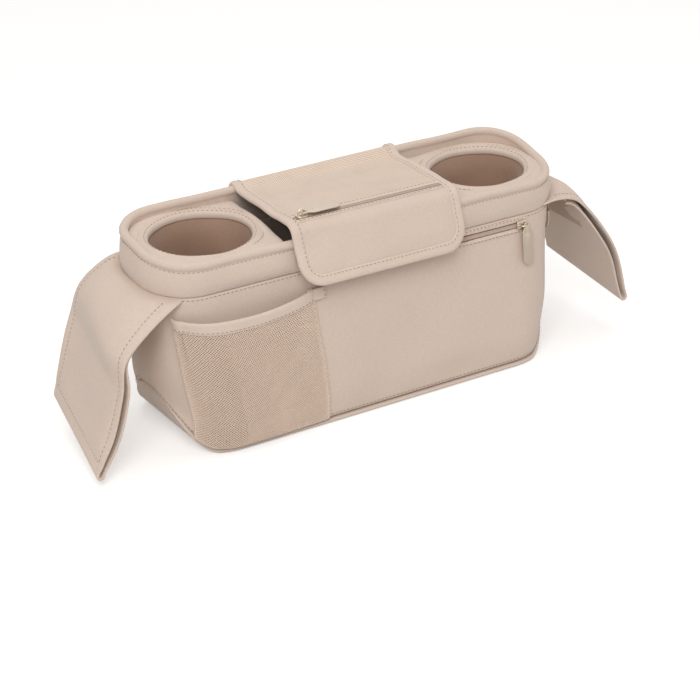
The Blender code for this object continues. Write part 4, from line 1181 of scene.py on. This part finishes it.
band("net_hem", steps(0.0, 1.0, 60), HEM_SECTION, hem_place, -1, BINDING, ("net_pocket_binding",))
sheet("net_side_seam", steps(net_foot(1.0) + 0.001, POCKET_HEIGHT, 40), SIDE_TAPE, side_tape_place, 1,
      CLOTH, thick=0.0006)
sheet("net_tab", steps(0, 1, 8), steps(POCKET_HEIGHT - 0.0095, POCKET_HEIGHT + 0.0002, 5), tab_place, 1,
      BINDING, ("net_pocket_tab",), 0.0014)
FRONTWARD = Vector((0, -1, 0))
tab_line = [(tab_place(0.86, z) + FRONTWARD * 0.0001, FRONTWARD) for z in steps(0.1052, 0.1132, 12)]
side_line = [(side_tape_place(z, SIDE_TAPE[2]) + Vector((-0.0008, -0.0002, 0)), FRONTWARD)
             for z in steps(net_foot(1.0) + 0.002, 0.104, 60)]
stitching("net_stitches", [hem_stitch(share) for share in steps(0.01, 0.99, 200)], tab_line, side_line)


# Handlebar straps

STRAP_CLOTH, STRAP_PATCH, STRAP_FADE = 0.0020, 0.0012, 0.6
STRAP_TUCK, STRAP_RAISE, STRAP_IN = 0.0026, 0.0036, 0.0030
STRAP_STITCH_IN, STRAP_STITCH_END, STRAP_GROOVE = 0.060, 0.955, 0.0005
STRAP_STACK = 2 * STRAP_CLOTH + 2 * STRAP_PATCH + 3 * 0.0003
STRAP_BACK_AT, INNER_NARROW = 0.16, 0.975
# For each strap its side, its distance from the wall at the root, and how its front and back edges run,
# as (outward, down) from the root
STRAPS = {
    "left": (-1, 0.0023,
             [(0, 0), (0.032, 0.019), (0.057, 0.040), (0.063, 0.066), (0.073, 0.098), (0.0885, 0.1215)],
             [(0, 0), (0.020, 0.005), (0.041, 0.020), (0.051, 0.044), (0.059, 0.070), (0.068, 0.110)]),
    "right": (1, 0.0013,
              [(0, -0.002), (0.028, 0.000), (0.045, 0.012), (0.062, 0.033), (0.077, 0.060), (0.088, 0.100)],
              [(0, 0), (0.022, 0.004), (0.044, 0.018), (0.060, 0.040), (0.074, 0.066), (0.084, 0.094)])}


def strap_face(label, wavy=True):
    """The strap's outer face: share runs down from the tucked-in root, across from front to back."""
    side, clear, front_edge, back_edge = STRAPS[label]

    def root_of(station):
        return plan_point(station, seam_height(station) + STRAP_RAISE, clear)

    def base(share, across):
        station = mix(STRAP_ROOT_FRONT, STRAP_ROOT_BACK, across)
        front_root, back_root = root_of(STRAP_ROOT_FRONT), root_of(STRAP_ROOT_BACK)
        ends = []
        for start, run_out, edge_y in ((front_root, front_edge, STRAP_EDGE_FRONT_Y),
                                       (back_root, back_edge, STRAP_EDGE_BACK_Y)):
            track = [Vector((start.x - out, 0.0, start.z - down)) for out, down in run_out]
            spot = along_points(track, share)
            spot.y = mix(start.y, edge_y, share)
            ends.append(spot)
        spot = ends[0].lerp(ends[1], across)
        lead = front_root.lerp(back_root, across)
        return spot + (root_of(station) - lead) * max(1 - share / STRAP_FADE, 0.0)

    def face(across, share):
        spot = base(share, across)
        relief = 0.0
        if wavy:
            rim = min(across, 1 - across)
            soft = ease(0.08, 0.30, share) * ease(0.0, 0.10, 0.97 - share) * ease(-0.04, 0.12, rim)
            relief = creased(spot, (0.060, 4.0 + side, 0.0034), (0.024, 9.0, 0.0010)) * soft
            seam = max(dent(rim - STRAP_STITCH_IN, 0.012), dent(share - STRAP_STITCH_END, 0.008))
            relief -= STRAP_GROOVE * seam * ease(0.08, 0.2, share)
        root = 1 - ease(0.0, 0.07, share)
        small = 1e-3
        down = base(min(share + small, 1.0), across) - base(max(share - small, 0.0), across)
        over = base(share, min(across + small, 1.0)) - base(share, max(across - small, 0.0))
        out = over.cross(down).normalized()
        station = mix(STRAP_ROOT_FRONT, STRAP_ROOT_BACK, across)
        inward = plan_point(station, FRONT_SEAM, -STRAP_IN) - plan_point(station, FRONT_SEAM)
        spot = spot + out * (relief - (clear + STRAP_TUCK) * root) + inward * root
        return Vector((-spot.x, spot.y, spot.z)) if side > 0 else spot
    return Form(face, side=-side)


def strap(label):
    """One strap: its cloth runs down outside, folds at the tip and comes up inside, over the patches."""
    face, calm = strap_face(label), strap_face(label, wavy=False)
    outer = [("outer", share) for share in parts((0, 0.06, 4), (0.06, 1, 44))]
    fold = [("fold", turn) for turn in steps(0, pi, 9)[1:-1]]
    inner = [("inner", share) for share in steps(1, STRAP_BACK_AT, 36)]

    def place(across, station):
        kind, at = station
        if kind == "outer":
            return face.at(across, at)
        if kind == "inner":
            within = mix(0.5, across, mix(1.0, INNER_NARROW, ease(0.0, 0.03, 1 - at)))
            drift = 0.0009 + creased(calm.point(within, at), (0.050, 21.0, 0.0010))
            return calm.at(within, at, -STRAP_STACK - drift * ease(0.0, 0.12, 1 - at))
        out = calm.out(across, 0.995)
        down = (calm.at(across, 1.0) - calm.at(across, 0.98)).normalized()
        centre = calm.at(across, 1.0) - out * STRAP_STACK / 2
        return centre + (out * cos(at) + down * sin(at)) * STRAP_STACK / 2
    sheet(label + "_wing", parts((0, 0.06, 4), (0.06, 0.94, 34), (0.94, 1, 4)), outer + fold + inner, place,
          face.side, CLOTH, (label + "_strap",), STRAP_CLOTH)

    near, far = STRAP_STITCH_IN, 1 - STRAP_STITCH_IN
    down_front = [(near, share) for share in steps(0.05, STRAP_STITCH_END, 220)]
    round_tip = [(across, STRAP_STITCH_END) for across in steps(near, far, 160)]
    up_back = [(far, share) for share in steps(STRAP_STITCH_END, 0.05, 220)]
    stitching(label + "_wing_stitches", face.line(down_front + round_tip[1:] + up_back[1:], 0.0001))


strap("left")
strap("right")


# Rings for a shoulder strap, and the plain finishes of hidden parts

RING_WIDTH, RING_HEIGHT, RING_WIRE = 0.024, 0.020, 0.0013
RING_TAB_WIDTH, RING_TAB_THICK, RING_TAB_DROP, RING_TAB_TOP, RING_GAP = 0.018, 0.0008, 0.0120, 0.0068, 0.0003
RING_CORNER, RING_STITCH_Y = 0.0022, 0.0068


def ring(label, side):
    """A wire D ring in its folded tab at the end of the bag."""
    top = mix(FRONT_SEAM, BACK_SEAM, depth_share(RING_Y)) - RING_TAB_TOP
    bar = top - RING_TAB_DROP
    bend = RING_WIRE + RING_GAP + RING_TAB_THICK
    rise = (top - BASE_CURL) / (FRONT_SEAM - BASE_CURL)
    bar_x = mix(PLAIN_BASE_LENGTH, TOP_LENGTH, rise) / 2 + RING_GAP + bend
    legs = [(bar_x - bend, z) for z in steps(top, bar, 5)]
    turn = [(bar_x + bend * cos(a), bar + bend * sin(a)) for a in steps(pi, 2 * pi, 8)[1:]]
    up = [(bar_x + bend, z) for z in steps(bar, top - RING_TAB_THICK, 5)[1:]]

    def tab(across, at):
        return Vector((side * at[0], RING_Y + across * RING_TAB_WIDTH / 2, at[1]))
    sheet(label + "_ring_cloth", steps(-1, 1, 8), legs + turn + up, tab, side,
          CLOTH, (label + "_ring_tab",), RING_TAB_THICK)
    out, x = Vector((side, 0, 0)), side * (bar_x + bend)
    rows = ([(Vector((x, RING_Y + y, z)), out) for z in steps(bar, top - 0.001, 12)]
            for y in (-RING_STITCH_Y, RING_STITCH_Y))
    stitching(label + "_ring_stitches", *rows)
    half = RING_WIDTH / 2
    bow = arc((0, bar - RING_HEIGHT + half), half, pi, 2 * pi, 28)
    shoulder = arc((half - RING_CORNER, bar - RING_CORNER), RING_CORNER, 0, pi / 2, 6)
    outline = bow + shoulder + [(-y, z) for y, z in reversed(shoulder)]
    bm = bmesh.new()
    absorb(bm, tube([(side * bar_x, RING_Y + y, z) for y, z in outline], RING_WIRE, closed=True))
    finished(label + "_d_ring", bm, METAL, (label + "_ring",), label + "_ring")


ring("left", -1)
ring("right", 1)
HIDDEN = {"base_board": BOARD, "left_divider": CLOTH, "right_divider": CLOTH, "front_pocket_lining": INSIDE}
for side in ("left", "right"):
    HIDDEN.update({f"{side}_strap_{kind}_patch": HOOKS for kind in ("loop", "hook")})
for node, look in HIDDEN.items():
    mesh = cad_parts[node].data
    mesh.materials.clear()
    mesh.materials.append(look)


# Floor, light and camera

WORLD_LIGHT = 0.46
WARM = (1.0, 0.945, 0.885, 1.0)
FLOOR_GREY, FLOOR_GLOW, FLOOR_DROP = (0.78, 0.78, 0.78, 1.0), 0.42, 0.0006


def build_floor():
    """A wide pale floor, which glows a little for the camera alone."""
    bm = bmesh.new()
    bmesh.ops.create_grid(bm, x_segments=1, y_segments=1, size=6.0)
    floor = linked("floor", baked("floor", bm))
    floor.location.z = -FLOOR_DROP
    ground = bpy.data.materials.new("pale floor")
    nodes = Nodes(ground)
    seen = nodes.node("LightPath", {}, {}, "Is Camera Ray")
    glow = nodes.node("Emission", {}, {"Strength": seen * FLOOR_GLOW})
    dull = nodes.node("BsdfDiffuse", {}, {"Color": FLOOR_GREY})
    nodes.node("OutputMaterial", {}, {0: nodes.node("AddShader", {}, {0: dull, 1: glow})})
    floor.data.materials.append(ground)


def build_world():
    """White where it is seen, straight or in a reflection; a warm light for all else."""
    world = bpy.data.worlds.new("studio")
    bpy.context.scene.world = world
    nodes = Nodes(world)
    camera, glossy, clear = (nodes.node("LightPath", {}, {}, f"Is {kind} Ray")
                             for kind in ("Camera", "Glossy", "Transmission"))
    lit = nodes.node("Background", {}, {"Color": WARM, "Strength": WORLD_LIGHT})
    white = nodes.node("Background", {}, {"Color": (1.0, 1.0, 1.0, 1.0), "Strength": 1.0})
    both = nodes.node("MixShader", {}, {0: camera.most(glossy).most(clear), 1: lit, 2: white})
    nodes.node("OutputWorld", {}, {0: both})


def lamp(name, spot, size, power, aim=(0.0, 0.0, 0.08)):
    light = bpy.data.lights.new(name, "AREA")
    light.shape = "SQUARE"
    light.size = size
    light.energy = power
    holder = linked(name, light)
    holder.location = spot
    holder.rotation_euler = (Vector(aim) - Vector(spot)).to_track_quat("-Z", "Y").to_euler()


def build_camera():
    """The photograph's view: from the front left, a little above."""
    azimuth, elevation, distance = radians(-33.0), radians(26.0), 1.66
    target = Vector((0.0053, 0.0, 0.0233))
    back = Vector((sin(azimuth) * cos(elevation), -cos(azimuth) * cos(elevation), sin(elevation)))
    camera = bpy.data.cameras.new("camera")
    camera.lens = 103.1
    camera.sensor_width = 36.0
    holder = linked("camera", camera)
    holder.location = target + back * distance
    holder.rotation_euler = back.to_track_quat("Z", "Y").to_euler()
    bpy.context.scene.camera = holder


build_floor()
build_world()
lamp("key", (-1.1, -1.45, 1.75), 1.3, 28.5)
lamp("fill", (1.6, -0.9, 0.9), 1.4, 3.0)
lamp("top", (0.1, 0.4, 2.2), 1.6, 10.5)
build_camera()
bpy.context.scene.view_settings.view_transform = "Standard"
